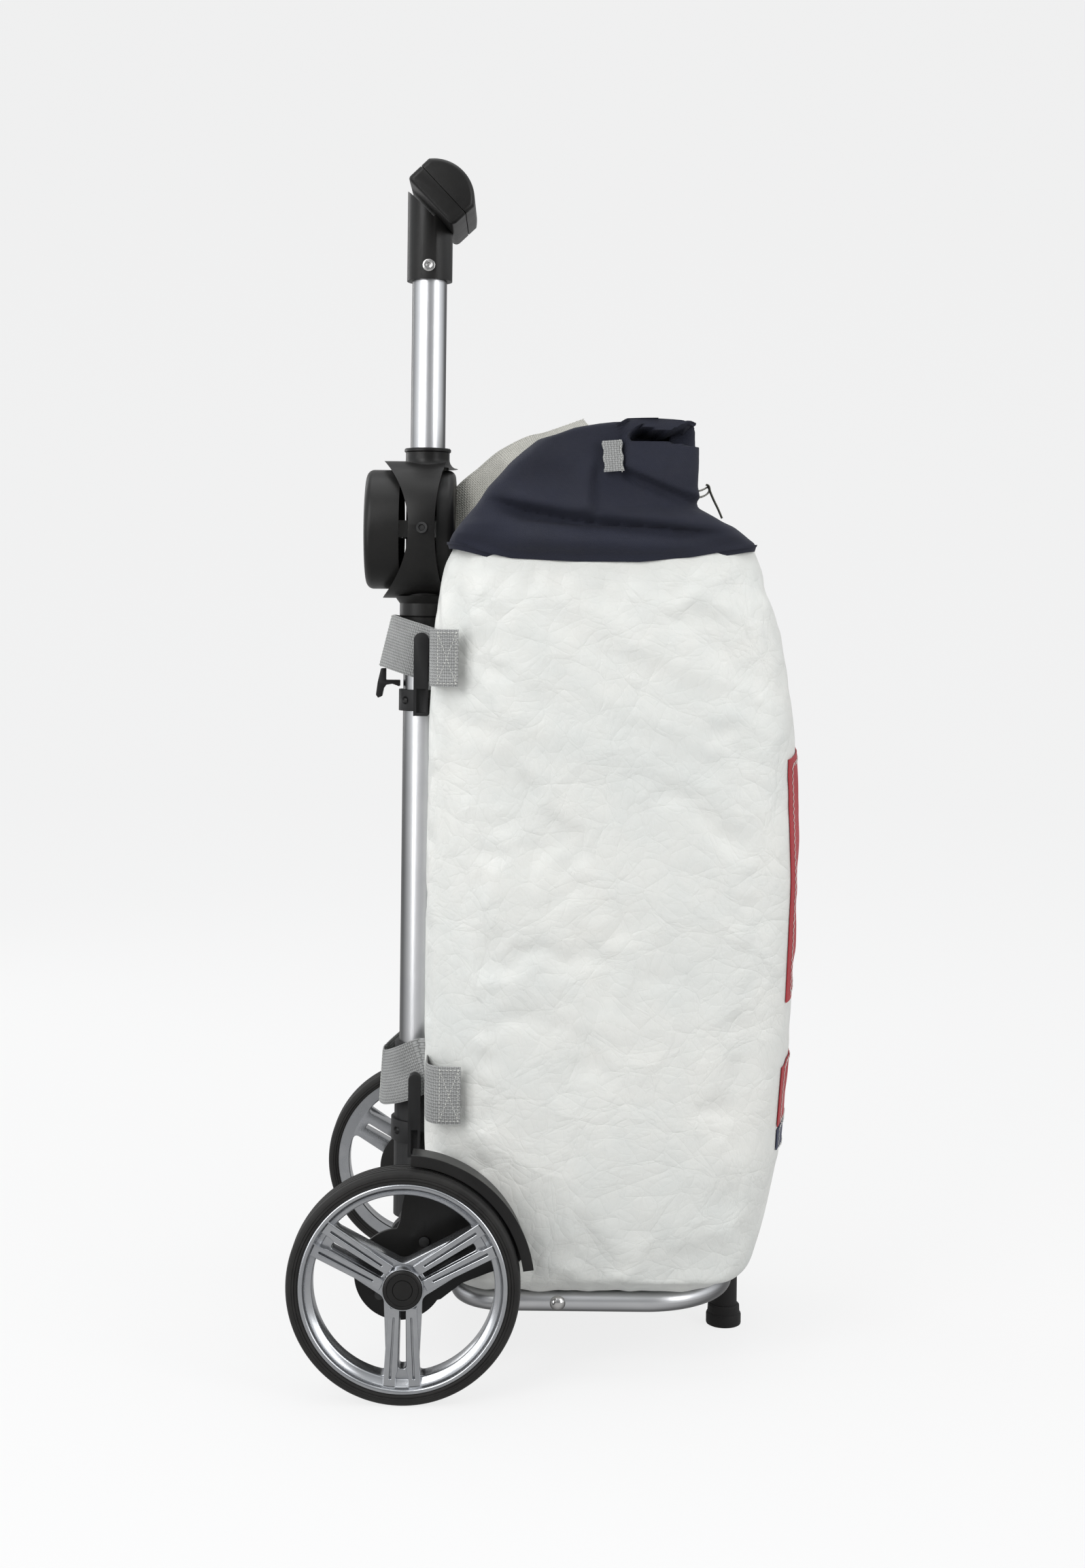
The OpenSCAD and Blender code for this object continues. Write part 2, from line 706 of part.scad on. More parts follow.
module closure_loop() color([0.8, 0.8, 0.78]) from_axle() along_y(10) polygon([
    [258.3, 806], [265, 803], [274, 795], [276, 797], [266, 806], [258.3, 809]
]);

// Front of the bag at a height, between its levels.
function front_at(z) = lookup(z, [for (level = bag_levels) [level[0], level[2]]]);

// A cloth shape that follows the bag's front between two heights.
module front_patch(low, high, half_w) {
    between = [for (level = bag_levels) if (level[0] > low && level[0] < high) level[0]];
    heights = concat(low, between, high);
    last = len(heights) - 1;
    along_y(2 * half_w) polygon(concat(
        [for (z = heights) [front_at(z) + slack + patch_t, z]],
        [for (i = [last:-1:0]) [front_at(heights[i]) + slack, heights[i]]]
    ));
}

// Coloured cloth shapes sewn on the bag's front.
module front_patches() color([0.7, 0.16, 0.2]) from_axle() {
    front_patch(336, 556, 70);
    front_patch(205, 290, 90);
}

// ---- drawing -------------------------------------------------------------------------------

grip_cap();
grip_lower_shell();
handle_neck();
neck_screw();
inner_tube();
slide_bush();
housing_body();
front_cover();
release_disc();
release_yoke();
brake_shoe();
release_spring();
housing_screws();
top_collar();
bottom_collar();
guide_bush();
outer_tube();
upper_bracket();
cart_hook();
bracket_screws();
chassis();
lower_bracket();
left_mudguard();
right_mudguard();
mudguard_screws();
axle();
axle_spacers();
retaining_clips();
left_rim();
right_rim();
left_tyre();
right_tyre();
left_bush();
right_bush();
left_hub_cap();
right_hub_cap();
base_loop();
cross_bar();
base_bolts();
foot_socket();
rubber_foot();
bag_body();
bag_hood();
upper_band();
lower_band();
carry_strap();
side_tabs();
closure_hook();
closure_loop();
front_patches();
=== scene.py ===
"""Looks of a two-wheeled shopping trolley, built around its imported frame.

Each sub-assembly is a class that makes its own pieces and dresses them. X points to the front
(the bag's side), Y to the left and Z up. Lengths are in metres, unless a name or a docstring
says that they are in millimetres.
"""

import json
import logging
import math
from collections.abc import Callable, Iterable, Sequence
from dataclasses import dataclass, field
from enum import Enum
from typing import ClassVar

import bmesh
import bpy
import numpy as np
from mathutils import Euler, Matrix, Vector, noise

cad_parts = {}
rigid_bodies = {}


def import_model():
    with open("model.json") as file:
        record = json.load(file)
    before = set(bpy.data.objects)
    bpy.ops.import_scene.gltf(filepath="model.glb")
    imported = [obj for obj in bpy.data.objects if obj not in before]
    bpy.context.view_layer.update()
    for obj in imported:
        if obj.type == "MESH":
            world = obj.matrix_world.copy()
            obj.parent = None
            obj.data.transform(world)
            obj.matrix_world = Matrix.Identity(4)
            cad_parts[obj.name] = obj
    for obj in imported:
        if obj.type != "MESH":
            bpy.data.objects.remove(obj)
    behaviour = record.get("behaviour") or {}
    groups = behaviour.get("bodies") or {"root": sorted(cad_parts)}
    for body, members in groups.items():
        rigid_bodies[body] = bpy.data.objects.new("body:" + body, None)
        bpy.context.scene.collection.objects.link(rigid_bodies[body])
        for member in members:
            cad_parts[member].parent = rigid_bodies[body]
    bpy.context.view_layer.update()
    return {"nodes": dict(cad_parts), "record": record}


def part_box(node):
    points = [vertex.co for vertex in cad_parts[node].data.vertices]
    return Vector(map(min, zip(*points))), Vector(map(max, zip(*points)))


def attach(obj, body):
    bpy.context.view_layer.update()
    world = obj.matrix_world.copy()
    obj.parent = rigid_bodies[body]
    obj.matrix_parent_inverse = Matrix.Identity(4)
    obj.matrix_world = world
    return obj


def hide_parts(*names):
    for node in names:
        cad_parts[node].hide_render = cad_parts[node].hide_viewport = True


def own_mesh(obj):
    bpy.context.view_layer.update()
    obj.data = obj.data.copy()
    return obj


for leftover in list(bpy.data.objects):
    bpy.data.objects.remove(leftover)
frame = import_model()

LOG = logging.getLogger("trolley")
Pair = tuple[float, float]
Colour = tuple[float, float, float]
MM = 0.001
WELD = 1e-6
CAD_WELD = 1e-5
BUSH_GAP = 0.005
STITCH_LIFT = 0.0013
WEBBING_THICK = 0.0022


class Axis(Enum):
    """A direction of the frame that a round piece is turned about."""

    X = 0
    Y = 1
    Z = 2


class Side(Enum):
    """A side of the trolley, as the sign of Y."""

    LEFT = 1
    RIGHT = -1

    @property
    def word(self) -> str:
        """The side's name, as the frame's nodes spell it."""
        return self.name.lower()


# ---- places read from the frame ------------------------------------------------------------


@dataclass(frozen=True)
class Span:
    """The box of one CAD node.

    Args:
        low: Its lowest corner.
        high: Its highest corner.
    """

    low: Vector
    high: Vector

    @staticmethod
    def of(node: str) -> "Span":
        """Reads a node's box from the frame."""
        return Span(*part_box(node))

    @property
    def mid(self) -> Vector:
        """The middle of the box."""
        return (self.low + self.high) / 2

    @property
    def size(self) -> Vector:
        """The box's extents."""
        return self.high - self.low


AXLE = Span.of("axle").mid
TUBE_X = Span.of("outer_tube").mid.x


def ahead(mm: float) -> float:
    """X of a place that is so many millimetres in front of the axle."""
    return AXLE.x + mm * MM


# ---- mesh making ---------------------------------------------------------------------------


def placed(name: str, data: bpy.types.ID) -> bpy.types.Object:
    """Makes an object of a mesh, a curve, a light or a camera and puts it in the scene."""
    obj = bpy.data.objects.new(name, data)
    bpy.context.scene.collection.objects.link(obj)
    return obj


class Draft:
    """Points, faces and metric texture places of a mesh in the making."""

    def __init__(self) -> None:
        """Starts with nothing in it."""
        self.points: list[tuple[float, ...]] = []
        self.faces: list[tuple[int, ...]] = []
        self.places: list[tuple[Pair, ...]] = []

    def grid(self, rows: np.ndarray, wrap: bool = False, loop: bool = False) -> np.ndarray:
        """Adds a grid of quads.

        Args:
            rows: Points as an array of rows, columns and three coordinates.
            wrap: Whether the last column joins the first.
            loop: Whether the last row joins the first.

        Returns:
            The point numbers, as an array of rows and columns.
        """
        count_r, count_c = rows.shape[:2]
        start = len(self.points)
        self.points += [tuple(p) for p in rows.reshape(-1, 3).tolist()]
        index = start + np.arange(count_r * count_c).reshape(count_r, count_c)
        middle = rows[count_r // 2]
        across = np.linalg.norm(np.roll(middle, -1, 0) - middle, axis=1)
        u = np.concatenate([[0], np.cumsum(across)])
        along = np.linalg.norm(np.roll(rows[:, 0], -1, 0) - rows[:, 0], axis=1)
        v = np.concatenate([[0], np.cumsum(along)])
        for r in range(count_r if loop else count_r - 1):
            for c in range(count_c if wrap else count_c - 1):
                r2, c2 = (r + 1) % count_r, (c + 1) % count_c
                self.faces.append((index[r, c], index[r, c2], index[r2, c2], index[r2, c]))
                self.places.append(
                    ((u[c], v[r]), (u[c + 1], v[r]), (u[c + 1], v[r + 1]), (u[c], v[r + 1]))
                )
        return index

    def face(self, corners: Sequence[int]) -> None:
        """Adds one face, whose texture places are all at zero."""
        self.faces.append(tuple(int(i) for i in corners))
        self.places.append(tuple((0.0, 0.0) for _ in corners))

    def build(self, name: str, sharp_deg: float = 35.0) -> bpy.types.Object:
        """Makes the mesh object, with outward normals and smooth shading.

        Args:
            name: The piece's name.
            sharp_deg: Edges over this angle are shaded sharp.

        Returns:
            The new object, in the scene.
        """
        mesh = bpy.data.meshes.new(name)
        mesh.from_pydata(self.points, [], self.faces)
        layer = mesh.uv_layers.new(name="metric")
        flat = [c for face in self.places for place in face for c in place]
        layer.data.foreach_set("uv", np.array(flat, np.float32))
        obj = placed(name, mesh)
        tidy(obj, sharp_deg)
        return obj


def tidy(obj: bpy.types.Object, sharp_deg: float = 35.0) -> None:
    """Merges doubles, turns the faces outwards and shades the mesh smooth up to an angle."""
    edit = bmesh.new()
    edit.from_mesh(obj.data)
    bmesh.ops.remove_doubles(edit, verts=edit.verts, dist=WELD)
    bmesh.ops.recalc_face_normals(edit, faces=edit.faces)
    edit.to_mesh(obj.data)
    edit.free()
    obj.data.shade_smooth()
    obj.data.set_sharp_from_angle(angle=math.radians(sharp_deg))


def applied(obj: bpy.types.Object) -> bpy.types.Object:
    """Turns an object's modifiers into its mesh."""
    graph = bpy.context.evaluated_depsgraph_get()
    mesh = bpy.data.meshes.new_from_object(obj.evaluated_get(graph))
    old = obj.data
    obj.modifiers.clear()
    obj.data = mesh
    bpy.data.meshes.remove(old)
    return obj


def eased(obj: bpy.types.Object, width_mm: float, segments: int) -> bpy.types.Object:
    """Rounds an object's sharp edges with a bevel.

    Args:
        obj: The object to change.
        width_mm: Width of the bevel in millimetres.
        segments: Steps across the bevel.

    Returns:
        The same object.
    """
    mod = obj.modifiers.new("ease", "BEVEL")
    mod.width = width_mm * MM
    mod.segments = segments
    mod.limit_method = "ANGLE"
    mod.angle_limit = math.radians(32)
    mod.harden_normals = False
    applied(obj)
    obj.data.shade_smooth()
    obj.data.set_sharp_from_angle(angle=math.radians(50))
    return obj


def softened(node: str, name: str, width_mm: float, segments: int = 2) -> bpy.types.Object:
    """Copies a CAD node as a welded mesh with rounded edges.

    Args:
        node: The CAD node that is copied.
        name: The new piece's name.
        width_mm: Width of the bevel in millimetres.
        segments: Steps across the bevel.

    Returns:
        The new piece.
    """
    obj = placed(name, frame["nodes"][node].data.copy())
    obj.data.materials.clear()
    edit = bmesh.new()
    edit.from_mesh(obj.data)
    bmesh.ops.remove_doubles(edit, verts=edit.verts, dist=CAD_WELD)
    bmesh.ops.dissolve_limit(
        edit, angle_limit=math.radians(0.6), verts=edit.verts, edges=edit.edges
    )
    edit.to_mesh(obj.data)
    edit.free()
    return eased(obj, width_mm, segments)


def joined(name: str, parts: Sequence[bpy.types.Object]) -> bpy.types.Object:
    """Joins objects into one mesh object."""
    edit = bmesh.new()
    for part in parts:
        edit.from_mesh(part.data)
    mesh = bpy.data.meshes.new(name)
    edit.to_mesh(mesh)
    edit.free()
    for part in parts:
        old = part.data
        bpy.data.objects.remove(part)
        bpy.data.meshes.remove(old)
    obj = placed(name, mesh)
    obj.data.shade_smooth()
    obj.data.set_sharp_from_angle(angle=math.radians(40))
    return obj


def lathe(
    name: str,
    profile: Sequence[Pair],
    centre: Vector,
    axis: Axis,
    steps: int = 96,
    closed: bool = True,
) -> bpy.types.Object:
    """Turns a profile about an axis.

    Args:
        name: The piece's name.
        profile: Points as radius and height along the axis, in millimetres.
        centre: A point on the axis, from which heights are counted.
        axis: The axis's direction.
        steps: Steps round the circle.
        closed: Whether the profile is a closed outline. If not, its ends lie on the axis.

    Returns:
        The new object.
    """
    turn = np.linspace(0, 2 * math.pi, steps, endpoint=False)
    shape = np.array(profile, float) * MM
    r, h = shape[:, 0:1], shape[:, 1:2]
    one, two = r * np.cos(turn), r * np.sin(turn)
    flat = np.broadcast_to(h, one.shape)
    order = {Axis.X: (flat, one, two), Axis.Y: (two, flat, one), Axis.Z: (one, two, flat)}[axis]
    draft = Draft()
    draft.grid(np.stack(order, -1) + np.array(centre), wrap=True, loop=closed)
    return draft.build(name)


def rounded_outline(corners: Sequence[tuple[float, float, float]], steps: int = 6) -> list[Pair]:
    """Rounds the corners of a flat outline.

    Args:
        corners: Corners as two coordinates and the corner's radius.
        steps: Steps along each rounded corner.

    Returns:
        The outline's points.
    """
    out: list[Pair] = []
    count = len(corners)
    for i, (x, y, r) in enumerate(corners):
        here = np.array([x, y])
        back = np.array(corners[i - 1][:2]) - here
        on = np.array(corners[(i + 1) % count][:2]) - here
        len_b, len_o = np.linalg.norm(back), np.linalg.norm(on)
        back, on = back / len_b, on / len_o
        half = math.acos(float(np.clip(back @ on, -1, 1))) / 2
        cut = min(r / max(math.tan(half), 1e-6), 0.49 * len_b, 0.49 * len_o)
        if r <= 0 or cut < 1e-9:
            out.append((x, y))
            continue
        a, c = here + back * cut, here + on * cut
        for k in range(steps + 1):
            t = k / steps
            p = (1 - t) ** 2 * a + 2 * t * (1 - t) * here + t * t * c
            out.append((float(p[0]), float(p[1])))
    return out


def plate(name: str, loops: Sequence[Sequence[Pair]], low: float, high: float,
          ease_mm: float) -> bpy.types.Object:
    """A flat plate square to Y, with holes and rounded edges.

    Args:
        name: The piece's name.
        loops: X and Z of its outline and its holes.
        low: Where it starts along Y.
        high: Where it ends.
        ease_mm: Radius of its edges in millimetres.

    Returns:
        The new object.
    """
    curve = bpy.data.curves.new(name, "CURVE")
    curve.dimensions = "2D"
    curve.fill_mode = "BOTH"
    for loop in loops:
        spline = curve.splines.new("POLY")
        spline.points.add(len(loop) - 1)
        for point, (a, b) in zip(spline.points, loop):
            point.co = (a, b, 0, 1)
        spline.use_cyclic_u = True
    curve.extrude = (high - low) / 2 - ease_mm * MM
    curve.bevel_depth = ease_mm * MM
    curve.bevel_resolution = 2
    curve.offset = -ease_mm * MM
    shape = placed(name, curve)
    graph = bpy.context.evaluated_depsgraph_get()
    mesh = bpy.data.meshes.new_from_object(shape.evaluated_get(graph))
    bpy.data.objects.remove(shape)
    mid = (low + high) / 2
    mesh.transform(Matrix(((1, 0, 0, 0), (0, 0, 1, mid), (0, 1, 0, 0), (0, 0, 0, 1))))
    obj = placed(name, mesh)
    tidy(obj, 40)
    return obj


def frames_along(path: np.ndarray, side: np.ndarray) -> tuple[np.ndarray, ...]:
    """Two directions across a path at each of its points.

    Args:
        path: Points along the path.
        side: One vector, or one for each point, roughly across the path.

    Returns:
        Unit side vectors and unit normals, both square to the path.
    """
    along = np.gradient(path, axis=0)
    along /= np.linalg.norm(along, axis=1, keepdims=True)
    sides = np.broadcast_to(side, path.shape).astype(float)
    sides = sides - (sides * along).sum(1, keepdims=True) * along
    sides /= np.linalg.norm(sides, axis=1, keepdims=True)
    return sides, np.cross(along, sides)


def smooth_path(points: Sequence[Sequence[float]], step: float) -> np.ndarray:
    """A smooth curve through points, sampled at equal steps.

    Args:
        points: Points that the curve goes through.
        step: Distance between samples.

    Returns:
        The samples.
    """
    p = np.array(points, float)
    p = np.vstack([2 * p[0] - p[1], p, 2 * p[-1] - p[-2]])
    dense = []
    for i in range(1, len(p) - 2):
        for t in np.linspace(0, 1, 24, endpoint=False):
            a, b, c, d = p[i - 1], p[i], p[i + 1], p[i + 2]
            dense.append(0.5 * (2 * b + (c - a) * t + (2 * a - 5 * b + 4 * c - d) * t * t
                                + (3 * b - a - 3 * c + d) * t ** 3))
    dense.append(p[-2])
    line = np.array(dense)
    length = np.concatenate([[0], np.cumsum(np.linalg.norm(np.diff(line, axis=0), axis=1))])
    samples = np.linspace(0, length[-1], max(3, int(length[-1] / step) + 1))
    return np.stack([np.interp(samples, length, line[:, k]) for k in range(3)], 1)


def ribbon(name: str, path: np.ndarray, side: np.ndarray, width: float | np.ndarray,
           thick: float, columns: int = 14) -> bpy.types.Object:
    """A flat strap of webbing along a path.

    Args:
        name: The piece's name.
        path: Points along the strap's middle.
        side: The direction of its width, once or for each point.
        width: Its width, once or for each point.
        thick: Its thickness.
        columns: Faces across the width.

    Returns:
        The strap, closed all round.
    """
    sides, normals = frames_along(path, side)
    width = np.broadcast_to(width, (len(path),))[:, None]
    across = np.linspace(-0.5, 0.5, columns + 1)
    section = [(a, 0.5 * min(1.0, 8 * (0.5 - abs(a)) + 0.45)) for a in across]
    section += [(a, -h) for a, h in reversed(section)]
    rows = np.stack([path + sides * width * a + normals * thick * h for a, h in section], 1)
    draft = Draft()
    index = draft.grid(rows, wrap=True)
    for ring in (index[0], index[-1]):
        for k in range(columns):
            draft.face((ring[k], ring[k + 1], ring[-2 - k], ring[-1 - k]))
    return draft.build(name, 60)


def tube_along(name: str, path: np.ndarray, radius: float, steps: int,
               up: Sequence[float]) -> bpy.types.Object:
    """A round cord along a path, with its ends closed."""
    sides, normals = frames_along(path, np.array(up, float))
    turn = np.linspace(0, 2 * math.pi, steps, endpoint=False)
    rows = np.stack([path + radius * (sides * math.cos(a) + normals * math.sin(a)) for a in turn], 1)
    draft = Draft()
    index = draft.grid(rows, wrap=True)
    draft.face(index[0])
    draft.face(index[-1][::-1])
    return draft.build(name, 50)


# ---- shader effects, each a node group built once ------------------------------------------


class Wiring:
    """Adds and links the nodes of one tree."""

    def __init__(self, tree: bpy.types.NodeTree) -> None:
        """Keeps the tree that it works on."""
        self.tree = tree

    def add(self, kind: str, **settings: object) -> bpy.types.Node:
        """Adds a node. A setting that names an input sets its value; any other is a property."""
        node = self.tree.nodes.new(kind)
        for key, value in settings.items():
            name = key.replace("_", " ")
            if hasattr(node, key):
                setattr(node, key, value)
            else:
                found = [s for s in node.inputs if s.name.lower() == name.lower()]
                found[0].default_value = value
        return node

    def math(self, operation: str, a: object, b: object = 0.0) -> bpy.types.NodeSocket:
        """Adds a Math node on two sockets or numbers and returns its output."""
        node = self.add("ShaderNodeMath", operation=operation)
        for slot, value in zip(node.inputs, (a, b)):
            if isinstance(value, bpy.types.NodeSocket):
                self.join(value, slot)
            else:
                slot.default_value = value
        return node.outputs[0]

    def join(self, source: bpy.types.NodeSocket, target: bpy.types.NodeSocket) -> None:
        """Links two sockets."""
        self.tree.links.new(source, target)


class Effects:
    """The shader node groups that the finishes share."""

    made: dict[str, bpy.types.NodeTree] = {}

    @classmethod
    def group(cls, name: str, inputs: dict[str, object], outputs: dict[str, str],
              wire: Callable[[Wiring, bpy.types.Node, bpy.types.Node], None]) -> bpy.types.NodeTree:
        """Builds a group the first time it is asked for.

        Args:
            name: The group's name.
            inputs: Input names and default values.
            outputs: Output names and socket types.
            wire: Fills the group's tree.

        Returns:
            The group's tree.
        """
        if name in cls.made:
            return cls.made[name]
        tree = bpy.data.node_groups.new(name, "ShaderNodeTree")
        for key, value in inputs.items():
            kind = ("NodeSocketFloat" if isinstance(value, float) else
                    "NodeSocketVector" if len(value) == 3 else "NodeSocketColor")
            tree.interface.new_socket(key, in_out="INPUT", socket_type=kind).default_value = value
        for key, kind in outputs.items():
            tree.interface.new_socket(key, in_out="OUTPUT", socket_type=kind)
        w = Wiring(tree)
        wire(w, w.add("NodeGroupInput"), w.add("NodeGroupOutput"))
        cls.made[name] = tree
        return tree

    @classmethod
    def blotches(cls) -> bpy.types.NodeTree:
        """Soft patches of a second colour over the first, at two scales."""
        def wire(w: Wiring, enter: bpy.types.Node, leave: bpy.types.Node) -> None:
            large = w.add("ShaderNodeTexNoise", Detail=3.0)
            fine = w.add("ShaderNodeTexNoise", Detail=5.0)
            for tex, factor in ((large, 1.0), (fine, 7.0)):
                w.join(enter.outputs["Vector"], tex.inputs["Vector"])
                w.join(w.math("MULTIPLY", enter.outputs["Scale"], factor), tex.inputs["Scale"])
            both = w.math("ADD", w.math("MULTIPLY", large.outputs["Fac"], 0.7),
                          w.math("MULTIPLY", fine.outputs["Fac"], 0.3))
            spread = w.add("ShaderNodeMapRange", From_Min=0.38, From_Max=0.62)
            w.join(both, spread.inputs["Value"])
            share = w.math("MULTIPLY", spread.outputs[0], enter.outputs["Amount"])
            mix = w.add("ShaderNodeMix", data_type="RGBA")
            w.join(share, mix.inputs["Factor"])
            w.join(enter.outputs["Base"], mix.inputs["A"])
            w.join(enter.outputs["Patch"], mix.inputs["B"])
            w.join(mix.outputs["Result"], leave.inputs["Color"])
            w.join(spread.outputs[0], leave.inputs["Mask"])
        return cls.group(
            "blotches",
            {"Vector": (0.0, 0.0, 0.0), "Scale": 10.0, "Amount": 1.0,
             "Base": (0.5, 0.5, 0.5, 1.0), "Patch": (0.4, 0.4, 0.4, 1.0)},
            {"Color": "NodeSocketColor", "Mask": "NodeSocketFloat"}, wire)

    @classmethod
    def grain(cls) -> bpy.types.NodeTree:
        """Fine moulded or cast grain, as a height."""
        def wire(w: Wiring, enter: bpy.types.Node, leave: bpy.types.Node) -> None:
            cells = w.add("ShaderNodeTexVoronoi")
            cloud = w.add("ShaderNodeTexNoise", Detail=4.0)
            for tex in (cells, cloud):
                w.join(enter.outputs["Vector"], tex.inputs["Vector"])
                w.join(enter.outputs["Scale"], tex.inputs["Scale"])
            height = w.math("ADD", w.math("MULTIPLY", cells.outputs["Distance"], 0.6),
                            w.math("MULTIPLY", cloud.outputs["Fac"], 0.6))
            w.join(w.math("MULTIPLY", height, enter.outputs["Depth"]), leave.inputs["Height"])
        return cls.group("grain", {"Vector": (0.0, 0.0, 0.0), "Scale": 900.0, "Depth": 1.0},
                         {"Height": "NodeSocketFloat"}, wire)

    @classmethod
    def weave(cls) -> bpy.types.NodeTree:
        """Plain weave of warp and weft threads over metric texture places."""
        def wire(w: Wiring, enter: bpy.types.Node, leave: bpy.types.Node) -> None:
            split = w.add("ShaderNodeSeparateXYZ")
            w.join(enter.outputs["Vector"], split.inputs[0])
            waves = []
            for axis, rate in (("X", "Warp"), ("Y", "Weft")):
                angle = w.math("MULTIPLY", split.outputs[axis], enter.outputs[rate])
                waves.append(w.math("SINE", w.math("MULTIPLY", angle, math.pi)))
            over = w.math("GREATER_THAN", w.math("MULTIPLY", *waves), 0.0)
            tops = [w.math("ABSOLUTE", wave) for wave in waves]
            under = w.math("SUBTRACT", 1.0, over)
            height = w.math("ADD", w.math("MULTIPLY", tops[0], over),
                            w.math("MULTIPLY", tops[1], under))
            w.join(height, leave.inputs["Height"])
            w.join(w.math("ADD", 0.3, w.math("MULTIPLY", height, 0.7)), leave.inputs["Shade"])
        return cls.group("weave", {"Vector": (0.0, 0.0, 0.0), "Warp": 1200.0, "Weft": 1200.0},
                         {"Height": "NodeSocketFloat", "Shade": "NodeSocketFloat"}, wire)

    @classmethod
    def crinkle(cls) -> bpy.types.NodeTree:
        """A net of fine creases, as pressed into stiff sailcloth."""
        def wire(w: Wiring, enter: bpy.types.Node, leave: bpy.types.Node) -> None:
            bend = w.add("ShaderNodeTexNoise", Scale=9.0, Detail=2.0)
            w.join(enter.outputs["Vector"], bend.inputs["Vector"])
            shift = w.add("ShaderNodeVectorMath", operation="MULTIPLY_ADD")
            w.join(bend.outputs["Color"], shift.inputs[0])
            shift.inputs[1].default_value = (0.06, 0.06, 0.06)
            w.join(enter.outputs["Vector"], shift.inputs[2])
            ridged = w.add("ShaderNodeTexNoise", noise_type="RIDGED_MULTIFRACTAL", Detail=6.0,
                           Offset=1.0, Gain=1.0)
            w.join(shift.outputs[0], ridged.inputs["Vector"])
            w.join(w.math("MULTIPLY", enter.outputs["Scale"], 0.7), ridged.inputs["Scale"])
            total = w.math("MULTIPLY", ridged.outputs["Fac"], 0.45)
            for factor, weight in ((1.0, 0.5), (2.3, 0.35), (5.1, 0.2), (11.0, 0.08)):
                cell = w.add("ShaderNodeTexVoronoi", feature="DISTANCE_TO_EDGE")
                w.join(shift.outputs[0], cell.inputs["Vector"])
                w.join(w.math("MULTIPLY", enter.outputs["Scale"], factor), cell.inputs["Scale"])
                ridge = w.math("POWER", w.math("MINIMUM", cell.outputs["Distance"], 0.5), 0.45)
                part = w.math("MULTIPLY", ridge, weight)
                total = w.math("ADD", total, part)
            w.join(total, leave.inputs["Height"])
        return cls.group("crinkle", {"Vector": (0.0, 0.0, 0.0), "Scale": 14.0},
                         {"Height": "NodeSocketFloat"}, wire)


# ---- finishes ------------------------------------------------------------------------------


@dataclass(frozen=True)
class Finish:
    """What every finish shares.

    Args:
        name: The material's name.
        colour: Its main colour.
        patch: The colour of its soft patches.
        patch_scale: How many patches there are to a metre.
        roughness: Its roughness where it is cleanest.
        roughness_spread: How much rougher its patches are.
        metallic: Whether it is metal, from 0 to 1.
    """

    name: str
    colour: Colour
    patch: Colour
    patch_scale: float = 12.0
    roughness: float = 0.5
    roughness_spread: float = 0.1
    metallic: float = 0.0

    def shader_values(self) -> dict[str, object]:
        """Values that are the same all over the surface, by the shader's socket names."""
        return {}

    def height(self, w: Wiring, place: bpy.types.NodeSocket,
               texture: bpy.types.NodeSocket) -> tuple[bpy.types.NodeSocket, float] | None:
        """The bump's height socket and its distance in metres, or None for a plain surface."""
        return None

    def material(self) -> bpy.types.Material:
        """Builds the material, or returns the one that was built before."""
        known = bpy.data.materials.get(f"{self.name}_finish")
        if known:
            return known
        made = bpy.data.materials.new(f"{self.name}_finish")
        made.use_nodes = True
        w = Wiring(made.node_tree)
        shader = made.node_tree.nodes["Principled BSDF"]
        shader.inputs["Metallic"].default_value = self.metallic
        for key, value in self.shader_values().items():
            shader.inputs[key].default_value = value
        where = w.add("ShaderNodeTexCoord")
        patches = w.add("ShaderNodeGroup", node_tree=Effects.blotches())
        w.join(where.outputs["Object"], patches.inputs["Vector"])
        patches.inputs["Scale"].default_value = self.patch_scale
        patches.inputs["Base"].default_value = (*self.colour, 1)
        patches.inputs["Patch"].default_value = (*self.patch, 1)
        w.join(self.tinted(w, patches.outputs["Color"], where), shader.inputs["Base Color"])
        spread = w.add("ShaderNodeMapRange", To_Min=self.roughness,
                       To_Max=self.roughness + self.roughness_spread)
        w.join(patches.outputs["Mask"], spread.inputs["Value"])
        w.join(spread.outputs[0], shader.inputs["Roughness"])
        found = self.height(w, where.outputs["Object"], where.outputs["UV"])
        if found:
            bump = w.add("ShaderNodeBump", Strength=1.0, Distance=found[1])
            w.join(found[0], bump.inputs["Height"])
            w.join(bump.outputs[0], shader.inputs["Normal"])
        return made

    def tinted(self, w: Wiring, colour: bpy.types.NodeSocket,
               where: bpy.types.Node) -> bpy.types.NodeSocket:
        """The colour after the finish's own shading, which is the plain colour here."""
        return colour


@dataclass(frozen=True)
class Moulded(Finish):
    """Moulded plastic or rubber with a fine grain.

    Args:
        grain_scale: Grains to a metre.
        grain_mm: Depth of the grain in millimetres.
        sheen: Dry sheen of rubber.
        gloss: How strongly its surface reflects. 0.5 is common plastic.
    """

    grain_scale: float = 1500.0
    grain_mm: float = 0.05
    sheen: float = 0.0
    gloss: float = 0.5

    def shader_values(self) -> dict[str, object]:
        """Sets the sheen and how strongly the surface reflects."""
        return {"Sheen Weight": self.sheen, "Sheen Roughness": 0.5,
                "Specular IOR Level": self.gloss}

    def height(self, w: Wiring, place: bpy.types.NodeSocket,
               texture: bpy.types.NodeSocket) -> tuple[bpy.types.NodeSocket, float]:
        """A fine grain over the whole piece."""
        grain = w.add("ShaderNodeGroup", node_tree=Effects.grain())
        w.join(place, grain.inputs["Vector"])
        grain.inputs["Scale"].default_value = self.grain_scale
        return grain.outputs["Height"], self.grain_mm * MM


